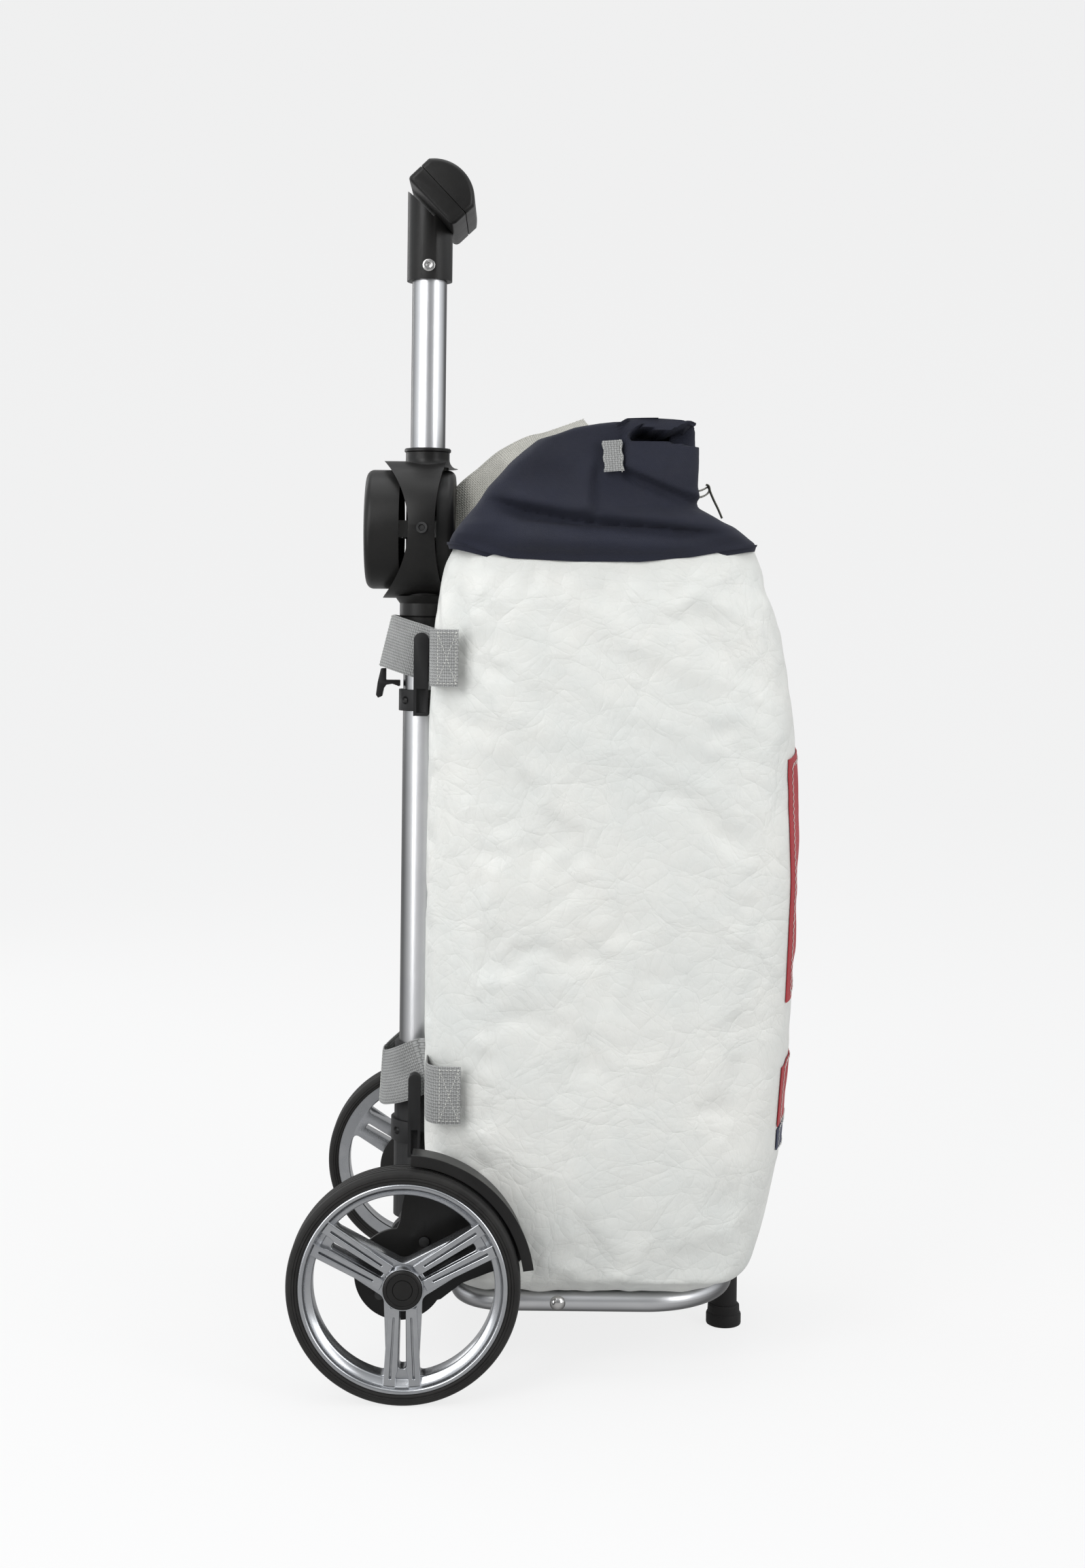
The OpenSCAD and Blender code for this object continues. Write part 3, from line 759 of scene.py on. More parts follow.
@dataclass(frozen=True)
class Drawn(Finish):
    """Metal with fine lines along one direction, and a painted dark reflection where it turns away.

    Args:
        lines: Stretch of the lines: small along them and large across them.
        line_mm: Depth of the lines in millimetres.
    """

    lines: tuple[float, float, float] = (900.0, 900.0, 6.0)
    line_mm: float = 0.0002

    def height(self, w: Wiring, place: bpy.types.NodeSocket,
               texture: bpy.types.NodeSocket) -> tuple[bpy.types.NodeSocket, float]:
        """Noise that is stretched into lines."""
        stretch = w.add("ShaderNodeMapping")
        stretch.inputs["Scale"].default_value = self.lines
        w.join(place, stretch.inputs["Vector"])
        grain = w.add("ShaderNodeGroup", node_tree=Effects.grain())
        w.join(stretch.outputs[0], grain.inputs["Vector"])
        grain.inputs["Scale"].default_value = 1.0
        return grain.outputs["Height"], self.line_mm * MM

    def tinted(self, w: Wiring, colour: bpy.types.NodeSocket,
               where: bpy.types.Node) -> bpy.types.NodeSocket:
        """Paints a dark reflection into the metal's colour where it turns away from the camera: painted
        shade that stands in for dark studio flags.
        """
        turned = w.add("ShaderNodeLayerWeight", Blend=0.5)
        ramp = w.add("ShaderNodeMapRange", interpolation_type="SMOOTHSTEP", From_Min=0.04,
                     From_Max=0.62, To_Min=1.0, To_Max=0.22)
        w.join(turned.outputs["Facing"], ramp.inputs["Value"])
        # Painted dark reflection: the colour is multiplied down by the facing angle, not by any light.
        dark = w.add("ShaderNodeMix", data_type="RGBA", blend_type="MULTIPLY", Factor=1.0)
        w.join(colour, dark.inputs["A"])
        w.join(ramp.outputs[0], dark.inputs["B"])
        return dark.outputs["Result"]


@dataclass(frozen=True)
class Woven(Finish):
    """Cloth or webbing with a weave over its metric texture places.

    Args:
        warp: Warp threads to a metre.
        weft: Weft threads to a metre.
        weave_mm: Depth of the weave in millimetres.
        shade: How much darker the gaps between threads are.
        sheen: Sheen of the fibres.
        creased: How deep its net of creases is, in millimetres. 0 leaves it out.
    """

    warp: float = 1400.0
    weft: float = 1400.0
    weave_mm: float = 0.1
    shade: float = 0.5
    sheen: float = 0.2
    creased: float = 0.0

    def shader_values(self) -> dict[str, object]:
        """Sets the fibres' sheen."""
        return {"Sheen Weight": self.sheen, "Sheen Roughness": 0.4}

    def threads(self, w: Wiring, texture: bpy.types.NodeSocket) -> bpy.types.Node:
        """The weave group, placed and set."""
        weave = w.add("ShaderNodeGroup", node_tree=Effects.weave())
        w.join(texture, weave.inputs["Vector"])
        weave.inputs["Warp"].default_value = self.warp
        weave.inputs["Weft"].default_value = self.weft
        return weave

    def height(self, w: Wiring, place: bpy.types.NodeSocket,
               texture: bpy.types.NodeSocket) -> tuple[bpy.types.NodeSocket, float]:
        """Threads, and creases if the cloth is creased."""
        threads = self.threads(w, texture).outputs["Height"]
        if not self.creased:
            return threads, self.weave_mm * MM
        net = w.add("ShaderNodeGroup", node_tree=Effects.crinkle())
        w.join(place, net.inputs["Vector"])
        share = w.math("MULTIPLY", threads, self.weave_mm / self.creased)
        return w.math("ADD", share, net.outputs["Height"]), self.creased * MM

    def tinted(self, w: Wiring, colour: bpy.types.NodeSocket,
               where: bpy.types.Node) -> bpy.types.NodeSocket:
        """Darkens the gaps between threads."""
        threads = self.threads(w, where.outputs["UV"])
        share = w.math("ADD", 1 - self.shade, w.math("MULTIPLY", threads.outputs["Shade"],
                                                     self.shade))
        dark = w.add("ShaderNodeMix", data_type="RGBA", blend_type="MULTIPLY", Factor=1.0)
        w.join(colour, dark.inputs["A"])
        w.join(share, dark.inputs["B"])
        return dark.outputs["Result"]


BLACK_PLASTIC = Moulded("black_satin_plastic", (0.010, 0.0097, 0.0095), (0.014, 0.0135, 0.013),
                        roughness=0.33, roughness_spread=0.08, gloss=0.26)
DARK_PLASTIC = Moulded("dark_moulded_plastic", (0.014, 0.014, 0.0145), (0.020, 0.020, 0.0205),
                       roughness=0.42, roughness_spread=0.1, gloss=0.26)
NYLON = Moulded("grey_nylon", (0.42, 0.42, 0.41), (0.36, 0.36, 0.35), roughness=0.45)
RUBBER = Moulded("black_rubber", (0.012, 0.012, 0.012), (0.018, 0.017, 0.017), roughness=0.62,
                 grain_scale=1100.0, grain_mm=0.08, sheen=0.05, gloss=0.2)
TYRE = Moulded("tyre_rubber", (0.014, 0.0135, 0.013), (0.022, 0.021, 0.020), 24.0, 0.48, 0.12,
               grain_scale=1300.0, grain_mm=0.06, sheen=0.05, gloss=0.22)
TUBE = Drawn("anodised_tube", (0.74, 0.745, 0.755), (0.68, 0.685, 0.70), 8.0, 0.34, 0.0, 1.0)
RIM_SILVER = Moulded("silver_rim", (0.50, 0.51, 0.525), (0.43, 0.44, 0.46), 20.0, 0.2, 0.08, 0.95,
                     grain_scale=2200.0, grain_mm=0.003)
STEEL = Drawn("bright_steel", (0.70, 0.69, 0.68), (0.60, 0.59, 0.58), 60.0, 0.18, 0.1, 1.0,
              lines=(300.0, 300.0, 300.0))
DARK_STEEL = Drawn("dark_steel", (0.05, 0.05, 0.05), (0.08, 0.08, 0.08), 60.0, 0.35, 0.1, 0.8)
SAILCLOTH = Woven("white_sailcloth", (0.77, 0.77, 0.735), (0.70, 0.715, 0.69), 6.0, 0.36, 0.14,
                  warp=2400.0, weft=2400.0, weave_mm=0.02, shade=0.05, sheen=0.05, creased=2.2)
NAVY = Woven("navy_canvas", (0.008, 0.010, 0.024), (0.0115, 0.014, 0.031), 16.0, 0.75, 0.1,
             warp=1100.0, weft=1100.0, weave_mm=0.16, shade=0.55, sheen=0.02)
GREY_WEBBING = Woven("grey_webbing", (0.40, 0.405, 0.40), (0.33, 0.335, 0.33), 30.0, 0.7, 0.1,
                     warp=380.0, weft=520.0, weave_mm=0.45, shade=0.9, sheen=0.1)
BEIGE_WEBBING = Woven("beige_webbing", (0.54, 0.53, 0.475), (0.46, 0.45, 0.405), 30.0, 0.7, 0.1,
                      warp=420.0, weft=620.0, weave_mm=0.35, shade=0.75, sheen=0.1)
RED_CLOTH = Woven("red_patch_cloth", (0.42, 0.014, 0.022), (0.36, 0.011, 0.018), 14.0, 0.5, 0.1,
                  warp=2000.0, weft=2000.0, weave_mm=0.03, shade=0.15, sheen=0.1, creased=0.4)
BLUE_CLOTH = Woven("navy_patch_cloth", (0.020, 0.026, 0.07), (0.03, 0.036, 0.085), 14.0, 0.5, 0.1,
                   warp=2000.0, weft=2000.0, weave_mm=0.03, shade=0.15, sheen=0.1, creased=0.4)
THREAD = Moulded("pale_thread", (0.70, 0.70, 0.66), (0.62, 0.62, 0.58), 200.0, 0.6,
                 grain_scale=2500.0, grain_mm=0.05, sheen=0.3)
OLIVE = Moulded("olive_hook_plastic", (0.13, 0.13, 0.10), (0.17, 0.17, 0.13), roughness=0.4)

NODE_FINISHES: dict[str, Finish] = {
    "black_plastic": BLACK_PLASTIC,
    "dark_plastic": DARK_PLASTIC,
    "grey_nylon": NYLON,
    "black_rubber": RUBBER,
    "black_tyre": TYRE,
    "aluminium_tube": TUBE,
    "silver_rim": RIM_SILVER,
    "bright_steel": STEEL,
    "dark_steel": DARK_STEEL,
    "white_sailcloth": SAILCLOTH,
    "navy_fabric": NAVY,
    "grey_webbing": GREY_WEBBING,
    "beige_webbing": BEIGE_WEBBING,
    "red_fabric": RED_CLOTH,
    "olive_hook": OLIVE,
}


def dress(obj: bpy.types.Object, finish: Finish) -> bpy.types.Object:
    """Gives an object one finish."""
    obj.data.materials.clear()
    obj.data.materials.append(finish.material())
    return obj


def settle(obj: bpy.types.Object, body: str, slot: str, finish: Finish | None = None,
           replaces: Iterable[str] = ()) -> bpy.types.Object:
    """Dresses a finished piece and puts it on its body.

    Args:
        obj: The piece, with its mesh in the frame.
        body: The CAD body that it rides on.
        slot: The record's material slot of the piece. It is not used.
        finish: Its finish, unless it is dressed already.
        replaces: The CAD nodes that it stands for.

    Returns:
        The piece.
    """
    if finish:
        dress(obj, finish)
    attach(obj, body)
    if replaces:
        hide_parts(*replaces)
    LOG.info("%s: %d faces on %s", obj.name, len(obj.data.polygons), body)
    return obj


def dress_cad_nodes() -> None:
    """Gives every CAD node the finish of its material slot."""
    slots = {s["node"]: s["material_slot"] for s in frame["record"]["subparts"]}
    for name, obj in frame["nodes"].items():
        dress(obj, NODE_FINISHES[slots[name]])


# ---- repeated things, made by geometry nodes -----------------------------------------------


class Repeats:
    """Geometry node trees for what repeats, each built once."""

    made: dict[str, bpy.types.NodeTree] = {}

    @classmethod
    def _start(cls, name: str, inputs: dict[str, str]) -> tuple[Wiring, bpy.types.Node, bpy.types.Node]:
        """Opens a new tree with a geometry input, the named inputs and a geometry output."""
        tree = bpy.data.node_groups.new(name, "GeometryNodeTree")
        tree.interface.new_socket("Geometry", in_out="INPUT", socket_type="NodeSocketGeometry")
        for key, kind in inputs.items():
            tree.interface.new_socket(key, in_out="INPUT", socket_type=kind)
        tree.interface.new_socket("Geometry", in_out="OUTPUT", socket_type="NodeSocketGeometry")
        w = Wiring(tree)
        cls.made[name] = tree
        return w, w.add("NodeGroupInput"), w.add("NodeGroupOutput")

    @classmethod
    def _end(cls, w: Wiring, enter: bpy.types.Node, leave: bpy.types.Node,
             source: bpy.types.NodeSocket) -> None:
        """Closes a tree with Realize Instances and Set Material."""
        real = w.add("GeometryNodeRealizeInstances")
        paint = w.add("GeometryNodeSetMaterial")
        w.join(source, real.inputs[0])
        w.join(real.outputs[0], paint.inputs["Geometry"])
        w.join(enter.outputs["Material"], paint.inputs["Material"])
        w.join(paint.outputs[0], leave.inputs[0])

    @classmethod
    def stitch_row(cls) -> bpy.types.NodeTree:
        """Small thread beads at equal spacing along a line of edges."""
        if "stitch_row" in cls.made:
            return cls.made["stitch_row"]
        w, enter, leave = cls._start("stitch_row", {
            "Spacing": "NodeSocketFloat", "Length": "NodeSocketFloat",
            "Radius": "NodeSocketFloat", "Material": "NodeSocketMaterial"})
        curve = w.add("GeometryNodeMeshToCurve")
        w.join(enter.outputs["Geometry"], curve.inputs[0])
        even = w.add("GeometryNodeResampleCurve", mode="LENGTH")
        w.join(curve.outputs[0], even.inputs["Curve"])
        w.join(enter.outputs["Spacing"], even.inputs["Length"])
        points = w.add("GeometryNodeCurveToPoints", mode="EVALUATED")
        w.join(even.outputs[0], points.inputs["Curve"])
        bead = w.add("GeometryNodeMeshUVSphere", Segments=6, Rings=5, Radius=1.0)
        size = w.add("ShaderNodeCombineXYZ")
        for axis in ("X", "Y"):
            w.join(enter.outputs["Radius"], size.inputs[axis])
        half = w.add("ShaderNodeMath", operation="MULTIPLY")
        half.inputs[1].default_value = 0.5
        w.join(enter.outputs["Length"], half.inputs[0])
        w.join(half.outputs[0], size.inputs["Z"])
        place = w.add("GeometryNodeInstanceOnPoints")
        w.join(points.outputs["Points"], place.inputs["Points"])
        w.join(bead.outputs["Mesh"], place.inputs["Instance"])
        turn = w.add("FunctionNodeAlignRotationToVector", axis="Z")
        w.join(points.outputs["Tangent"], turn.inputs["Vector"])
        w.join(turn.outputs[0], place.inputs["Rotation"])
        w.join(size.outputs[0], place.inputs["Scale"])
        cls._end(w, enter, leave, place.outputs[0])
        return cls.made["stitch_row"]

    @classmethod
    def around(cls) -> bpy.types.NodeTree:
        """Copies of a shape, turned about the Y axis through a centre."""
        if "around" in cls.made:
            return cls.made["around"]
        w, enter, leave = cls._start("around", {
            "Count": "NodeSocketInt", "Centre": "NodeSocketVector",
            "Material": "NodeSocketMaterial"})
        line = w.add("GeometryNodeMeshLine")
        w.join(enter.outputs["Count"], line.inputs["Count"])
        line.inputs["Offset"].default_value = (0, 0, 0)
        place = w.add("GeometryNodeInstanceOnPoints")
        w.join(line.outputs[0], place.inputs["Points"])
        w.join(enter.outputs["Geometry"], place.inputs["Instance"])
        index = w.add("GeometryNodeInputIndex")
        turn = w.add("ShaderNodeMath", operation="MULTIPLY")
        step = w.add("ShaderNodeMath", operation="DIVIDE")
        step.inputs[0].default_value = 2 * math.pi
        w.join(enter.outputs["Count"], step.inputs[1])
        w.join(index.outputs[0], turn.inputs[0])
        w.join(step.outputs[0], turn.inputs[1])
        angles = w.add("ShaderNodeCombineXYZ")
        w.join(turn.outputs[0], angles.inputs["Y"])
        rotation = w.add("FunctionNodeEulerToRotation")
        w.join(angles.outputs[0], rotation.inputs[0])
        w.join(rotation.outputs[0], place.inputs["Rotation"])
        move = w.add("GeometryNodeTransform")
        w.join(place.outputs[0], move.inputs["Geometry"])
        w.join(enter.outputs["Centre"], move.inputs["Translation"])
        cls._end(w, enter, leave, move.outputs[0])
        return cls.made["around"]


def run_tree(obj: bpy.types.Object, tree: bpy.types.NodeTree, **values: object) -> bpy.types.Object:
    """Runs a geometry node tree on an object and keeps the result as its mesh.

    Args:
        obj: The object whose mesh is the tree's input.
        tree: The tree.
        values: Its named inputs, with underscores for spaces.

    Returns:
        The same object.
    """
    mod = obj.modifiers.new(tree.name, "NODES")
    mod.node_group = tree
    sockets = {s.name: s.identifier for s in tree.interface.items_tree if s.in_out == "INPUT"}
    for key, value in values.items():
        mod[sockets[key.replace("_", " ")]] = value
    return applied(obj)


def stitches(name: str, lines: Sequence[np.ndarray], spacing_mm: float, length_mm: float,
             radius_mm: float) -> bpy.types.Object:
    """Rows of stitches along lines.

    Args:
        name: The piece's name.
        lines: Each line's points.
        spacing_mm: Distance from stitch to stitch.
        length_mm: Length of a stitch.
        radius_mm: Half of the thread's thickness.

    Returns:
        The stitches as one mesh object.
    """
    mesh = bpy.data.meshes.new(name)
    points, edges = [], []
    for line in lines:
        start = len(points)
        points += [tuple(p) for p in np.asarray(line).tolist()]
        edges += [(start + i, start + i + 1) for i in range(len(line) - 1)]
    mesh.from_pydata(points, edges, [])
    obj = placed(name, mesh)
    run_tree(obj, Repeats.stitch_row(), Spacing=spacing_mm * MM, Length=length_mm * MM,
             Radius=radius_mm * MM, Material=THREAD.material())
    obj.data.shade_smooth()
    return obj


# ---- handle --------------------------------------------------------------------------------


@dataclass(frozen=True)
class GripFrame:
    """The place of the grip's flat underside, whose local X runs down along it.

    Args:
        x: Its middle, in millimetres ahead of the axle.
        z: Its middle's height in millimetres.
        tilt_deg: Its tilt from level.
    """

    x: float = 6.0
    z: float = 1052.0
    tilt_deg: float = 46.3

    def place(self, along: float, out: float) -> Pair:
        """X and Z in metres of a point along the underside and out from it."""
        turn = math.radians(self.tilt_deg)
        return (ahead(self.x + along * math.cos(turn) + out * math.sin(turn)),
                (self.z - along * math.sin(turn) + out * math.cos(turn)) * MM)


@dataclass
class Handle:
    """The T-shaped grip, its neck and the neck's screw.

    Args:
        grip: Where the grip lies.
        width: Width of its underside in millimetres.
        height: Height of its section in millimetres.
        seam: Height of the line between its two shells in millimetres.
        end_round: Radius of the rounding of its ends in millimetres.
    """

    grip: GripFrame = field(default_factory=GripFrame)
    width: float = 61.0
    height: float = 42.5
    seam: float = 17.0
    end_round: float = 5.0

    def build(self) -> None:
        """Makes and dresses the handle's pieces."""
        settle(self.shell("grip_top", self.crown_outline()), "handle", "black_plastic",
               BLACK_PLASTIC, ["grip_cap"])
        settle(self.shell("grip_base", self.base_outline()), "handle", "black_plastic",
               BLACK_PLASTIC, ["grip_lower_shell"])
        settle(softened("handle_neck", "neck", 1.4, 3), "handle", "black_plastic", BLACK_PLASTIC,
               ["handle_neck"])
        settle(softened("neck_screw", "neck_bolt", 0.5), "handle", "bright_steel", STEEL,
               ["neck_screw"])

    def crown_outline(self) -> list[Pair]:
        """The upper shell's section: the seam, short sides and an arched crown."""
        half, gap = self.width / 2, 0.35
        radius = (half ** 2 + 240) / 31
        low = self.height - radius
        start = math.asin(max(0.0, (self.seam - low)) / radius)
        edge = min(half, radius * math.cos(start))
        rise = math.acos(edge / radius)
        arc = [(radius * math.cos(a), low + radius * math.sin(a), 0.0)
               for a in np.linspace(rise, math.pi - rise, 36)]
        return rounded_outline([(edge, self.seam + gap, 0.8), *arc, (-edge, self.seam + gap, 0.8)])

    def base_outline(self) -> list[Pair]:
        """The lower shell's section, a flat-bottomed tray."""
        half, gap = self.width / 2, 0.35
        return rounded_outline([(half, 0, 6), (half, self.seam - gap, 0.8),
                                (-half, self.seam - gap, 0.8), (-half, 0, 4)])

    def shell(self, name: str, outline: Sequence[Pair]) -> bpy.types.Object:
        """Runs a section along the grip and rounds its ends.

        Args:
            name: The piece's name.
            outline: The section, in the grip's frame and in millimetres.

        Returns:
            The shell.
        """
        span = Span.of("grip_cap")
        reach = span.size.y / 2 / MM
        shape = np.array(outline)
        rows = []
        r = self.end_round
        stops = np.linspace(90, 0, 7)
        for side in (-1, 1):
            for angle in (stops if side < 0 else stops[::-1]):
                inset = r * (1 - math.cos(math.radians(angle)))
                y = side * (reach - r * (1 - math.sin(math.radians(angle))))
                share = np.array([1 - inset / (self.width / 2),
                                  1 - inset / (self.height - self.seam)])
                ring = (shape - [0, self.seam]) * share + [0, self.seam]
                rows.append([(x, y * MM, z) for x, z in (self.grip.place(*p) for p in ring)])
        draft = Draft()
        index = draft.grid(np.array(rows), wrap=True)
        draft.face(index[0])
        draft.face(index[-1][::-1])
        return draft.build(name, 38)


# ---- lock housing --------------------------------------------------------------------------


@dataclass
class LockHousing:
    """The round housing with its release disc, front cover, screws and collars."""

    def build(self) -> None:
        """Makes and dresses the housing's pieces."""
        settle(softened("housing_body", "housing_shell", 1.6, 3), "frame", "black_plastic",
               BLACK_PLASTIC, ["housing_body"])
        settle(self.disc("release_button_disc", "release_disc", -1), "release_button",
               "black_plastic", BLACK_PLASTIC, ["release_disc"])
        settle(self.disc("front_lid", "front_cover", 1), "frame", "black_plastic",
               BLACK_PLASTIC, ["front_cover"])
        settle(self.collar(), "frame", "black_plastic", BLACK_PLASTIC, ["top_collar"])
        settle(self.lower_collar(), "frame", "black_plastic", BLACK_PLASTIC, ["bottom_collar"])
        settle(self.screws(), "frame", "dark_steel", DARK_STEEL, ["housing_screws"])

    def disc(self, name: str, node: str, facing: int) -> bpy.types.Object:
        """A dished disc with a rounded rim.

        Args:
            name: The piece's name.
            node: The CAD disc that it stands for.
            facing: 1 if its face looks to the front, -1 if to the rear.

        Returns:
            The disc.
        """
        span = Span.of(node)
        r = span.size.z / 2 / MM
        face = span.high.x if facing > 0 else span.low.x
        room = Span.of("guide_bush").low.x - face - BUSH_GAP
        depth = (span.size.x if facing > 0 else min(span.size.x, room)) / MM
        profile = [(0.0, 0.0), (r - 18, 0.0), (r - 15, 0.5)]
        profile += [(r - 7 + 7 * math.sin(a), 7 - 7 * math.cos(a) + 0.2)
                    for a in np.linspace(0, math.pi / 2, 9)]
        profile += [(r, depth), (r - 2, depth), (r - 2, 8.0), (r - 9, 1.6), (0.0, 1.4)]
        profile = [(p, -facing * h) for p, h in profile]
        centre = Vector((face, 0, Span.of("housing_body").mid.z))
        return lathe(name, profile, centre, Axis.X, 128, closed=False)

    def collar(self) -> bpy.types.Object:
        """The ring on top of the housing, which flares into its saddle."""
        span = Span.of("top_collar")
        r, h = span.size.x / 2 / MM, span.size.z / MM
        bore = Span.of("inner_tube").size.x / 2 / MM + 0.1
        flare = [(r + 0.3 + 8 * (1 - math.sin(a)), -7 + 9 * (1 - math.cos(a)))
                 for a in np.linspace(0, math.pi / 2, 8)]
        profile = [(bore, -5), *flare, (r + 0.3, h - 4), (r + 1.6, h - 3), (r + 1.6, h - 1),
                   (r + 0.8, h), (bore + 1, h), (bore, h - 1)]
        return lathe("collar_top", profile, Vector((TUBE_X, 0, span.low.z)), Axis.Z, 96)

    def lower_collar(self) -> bpy.types.Object:
        """The stepped ring that closes the housing around the outer tube."""
        span = Span.of("bottom_collar")
        r, h = span.size.x / 2 / MM, span.size.z / MM
        bore = Span.of("outer_tube").size.x / 2 / MM + 0.05
        profile = [(bore, 0), (r - 2.6, 0), (r - 2, 0.6), (r - 2, h / 2 - 0.5), (r - 0.8, h / 2),
                   (r, h / 2 + 1), (r, h - 5), (r + 3, h - 1), (r + 5, h + 2), (bore, h + 2)]
        return lathe("collar_bottom", profile, Vector((TUBE_X, 0, span.low.z)), Axis.Z, 96)

    def screws(self) -> bpy.types.Object:
        """The two recessed screws in the housing's sides, with cross slots."""
        span = Span.of("housing_screws")
        mid = Vector((span.mid.x, 0, span.mid.z))
        parts = []
        for side in Side:
            out = side.value * (span.high.y + 0.0015)
            head = lathe("head", [(0, 0), (2.6, 0), (2.9, -0.5), (2.9, -3), (0, -3)],
                         mid + Vector((0, out, 0)), Axis.Y, 32, closed=False)
            if side is Side.RIGHT:
                head.data.transform(Matrix.Translation((0, out, 0)) @ Matrix.Scale(-1, 4, (0, 1, 0))
                                    @ Matrix.Translation((0, -out, 0)))
            rim = lathe("rim", [(3.0, -2), (3.6, 0.3), (4.6, 0.6), (5.2, 0.2), (5.2, -2)],
                        mid + Vector((0, out, 0)), Axis.Y, 32)
            parts += [head, rim]
        both = joined("side_screws", parts)
        tidy(both)
        return both


# ---- wheels --------------------------------------------------------------------------------


@dataclass
class Wheel:
    """One wheel with its tyre, rim, spokes and hub cap.

    Args:
        side: The side it is on.
    """

    side: Side
    # Radii in millimetres, from the spokes' windows out to the rim's edge.
    WINDOW: ClassVar[float] = 78.0
    DISH: ClassVar[float] = 84.7
    BEAD: ClassVar[float] = 87.2
    RIM: ClassVar[float] = 89.5

    @property
    def body(self) -> str:
        """The CAD body that turns."""
        return f"{self.side.word}_wheel"

    def node(self, name: str) -> str:
        """The name of one of this wheel's CAD nodes."""
        return f"{self.side.word}_{name}"

    @property
    def inner_face(self) -> float:
        """Y of the tyre's inner face."""
        tyre = Span.of(self.node("tyre"))
        return tyre.low.y if self.side is Side.LEFT else tyre.high.y

    @property
    def wide(self) -> float:
        """The tyre's width in millimetres."""
        return Span.of(self.node("tyre")).size.y / MM

    def turned(self, name: str, profile: Sequence[Pair], steps: int = 160,
               closed: bool = True) -> bpy.types.Object:
        """Turns a profile given as radius and distance out from the tyre's inner face."""
        centre = Vector((AXLE.x, self.inner_face, AXLE.z))
        out = [(r, self.side.value * y) for r, y in profile]
        return lathe(name, out, centre, Axis.Y, steps, closed)

    def build(self) -> None:
        """Makes and dresses the wheel's pieces."""
        settle(self.tyre(), self.body, "black_tyre", TYRE, [self.node("tyre")])
        settle(self.ring(), self.body, "silver_rim", RIM_SILVER, [self.node("rim")])
        settle(self.spider(), self.body, "silver_rim", RIM_SILVER)
        settle(self.bars(), self.body, "silver_rim", RIM_SILVER)
        settle(self.cap(), self.body, "black_plastic", BLACK_PLASTIC, [self.node("hub_cap")])

    def tyre(self) -> bpy.types.Object:
        """A round-shouldered tyre with fine ridges on its flank and grooves in its tread."""
        wide = self.wide
        r = Span.of(self.node("tyre")).size.z / 2 / MM
        rim = r * 0.895
        flank = [(rim, wide - 1.5), (rim + 1.2, wide - 0.4), (rim + 2.2, wide - 0.4),
                 (rim + 2.7, wide - 1.1), (rim + 3.2, wide - 0.3), (rim + 4.4, wide - 0.4),
                 (rim + 4.9, wide - 1.2), (rim + 5.4, wide - 0.9)]
        shoulder = [(r - 4.2 + 3.9 * math.sin(a), wide - 5.2 + 4.0 * math.cos(a))
                    for a in np.linspace(0.25, math.pi / 2, 7)]
        half = [*flank, *shoulder]
        tread = []
        for groove in (22.0, 17.0, 12.0, 7.0):
            tread += [(r, groove + 1.1), (r - 1.5, groove + 0.6), (r - 1.5, groove - 0.6),
                      (r, groove - 1.1)]
        back = [(p, wide - h) for p, h in reversed(half)]
        return self.turned(f"{self.side.word}_tyre_rubber", [*half, *tread, *back])

    def ring(self) -> bpy.types.Object:
        """The rim's ring with its bright bead, its dish and the hub's sleeve."""
        wide = self.wide
        bead = [(self.BEAD + 2.3 * math.cos(a), wide - 1.9 + 2.0 * math.sin(a))
                for a in np.linspace(0, math.pi, 9)]
        dish = [(self.DISH - 6.2 * t, wide - 2.4 - 5.6 * t ** 0.6)
                for t in np.linspace(0.06, 1, 8)]
        outer = self.turned("ring", [(self.RIM, 3.0), (self.RIM, wide - 3), *bead, *dish,
                                     (self.WINDOW, wide - 8.8), (self.WINDOW, 3.6),
                                     (self.WINDOW + 0.6, 3.0)], 192)
        sleeve = self.turned("sleeve", [(14.0, 1.0), (17.4, 1.0), (18, 1.6), (18, wide - 1.0),
                                        (17.6, wide + 0.4), (17.0, wide + 0.4), (16.9, wide - 4),
                                        (14.0, wide - 4)], 96)
        return joined(f"{self.side.word}_rim_ring", [outer, sleeve])

    def around(self, name: str, loops: Sequence[Sequence[Pair]], low: float, high: float,
               ease_mm: float, whole: bool) -> bpy.types.Object:
        """A plate square to the axle, with its loops drawn in millimetres around it.

        Args:
            name: The piece's name.
            loops: Its loops. If it isn't whole, they are one third and are repeated.
            low: Where it starts, out from the tyre's inner face.
            high: Where it ends.
            ease_mm: Radius of its edges.
            whole: Whether the loops are the whole plate.

        Returns:
            The plate, in place.
        """
        ends = sorted(self.inner_face + self.side.value * d * MM for d in (low, high))
        centre = (0.0, 0.0) if not whole else (AXLE.x, AXLE.z)
        flat = [[(centre[0] + x * MM, centre[1] + z * MM) for x, z in loop] for loop in loops]
        made = plate(name, flat, ends[0], ends[1], ease_mm)
        if not whole:
            run_tree(made, Repeats.around(), Count=3, Centre=(AXLE.x, 0.0, AXLE.z),
                     Material=RIM_SILVER.material())
            tidy(made, 40)
        return made

    def window(self, turn_deg: float) -> list[Pair]:
        """One window of the spider, between two pairs of spokes."""
        slope = math.radians(27.5)
        start, r = 19.0, self.WINDOW + 0.1
        b = start * math.sin(slope)
        t = -b + math.sqrt(b * b + r * r - start * start)
        corner = (t * math.cos(slope), start + t * math.sin(slope))
        open_from = math.atan2(corner[1], corner[0])
        arc = [(r * math.cos(a), r * math.sin(a), 0.0)
               for a in np.linspace(open_from + 0.17, math.pi - open_from - 0.17, 22)]
        shape = rounded_outline([(0.0, start, 9.0), (*corner, 11.0), *arc,
                                 (-corner[0], corner[1], 11.0)], 7)
        turn = math.radians(turn_deg)
        return [(x * math.cos(turn) - z * math.sin(turn), x * math.sin(turn) + z * math.cos(turn))
                for x, z in shape]

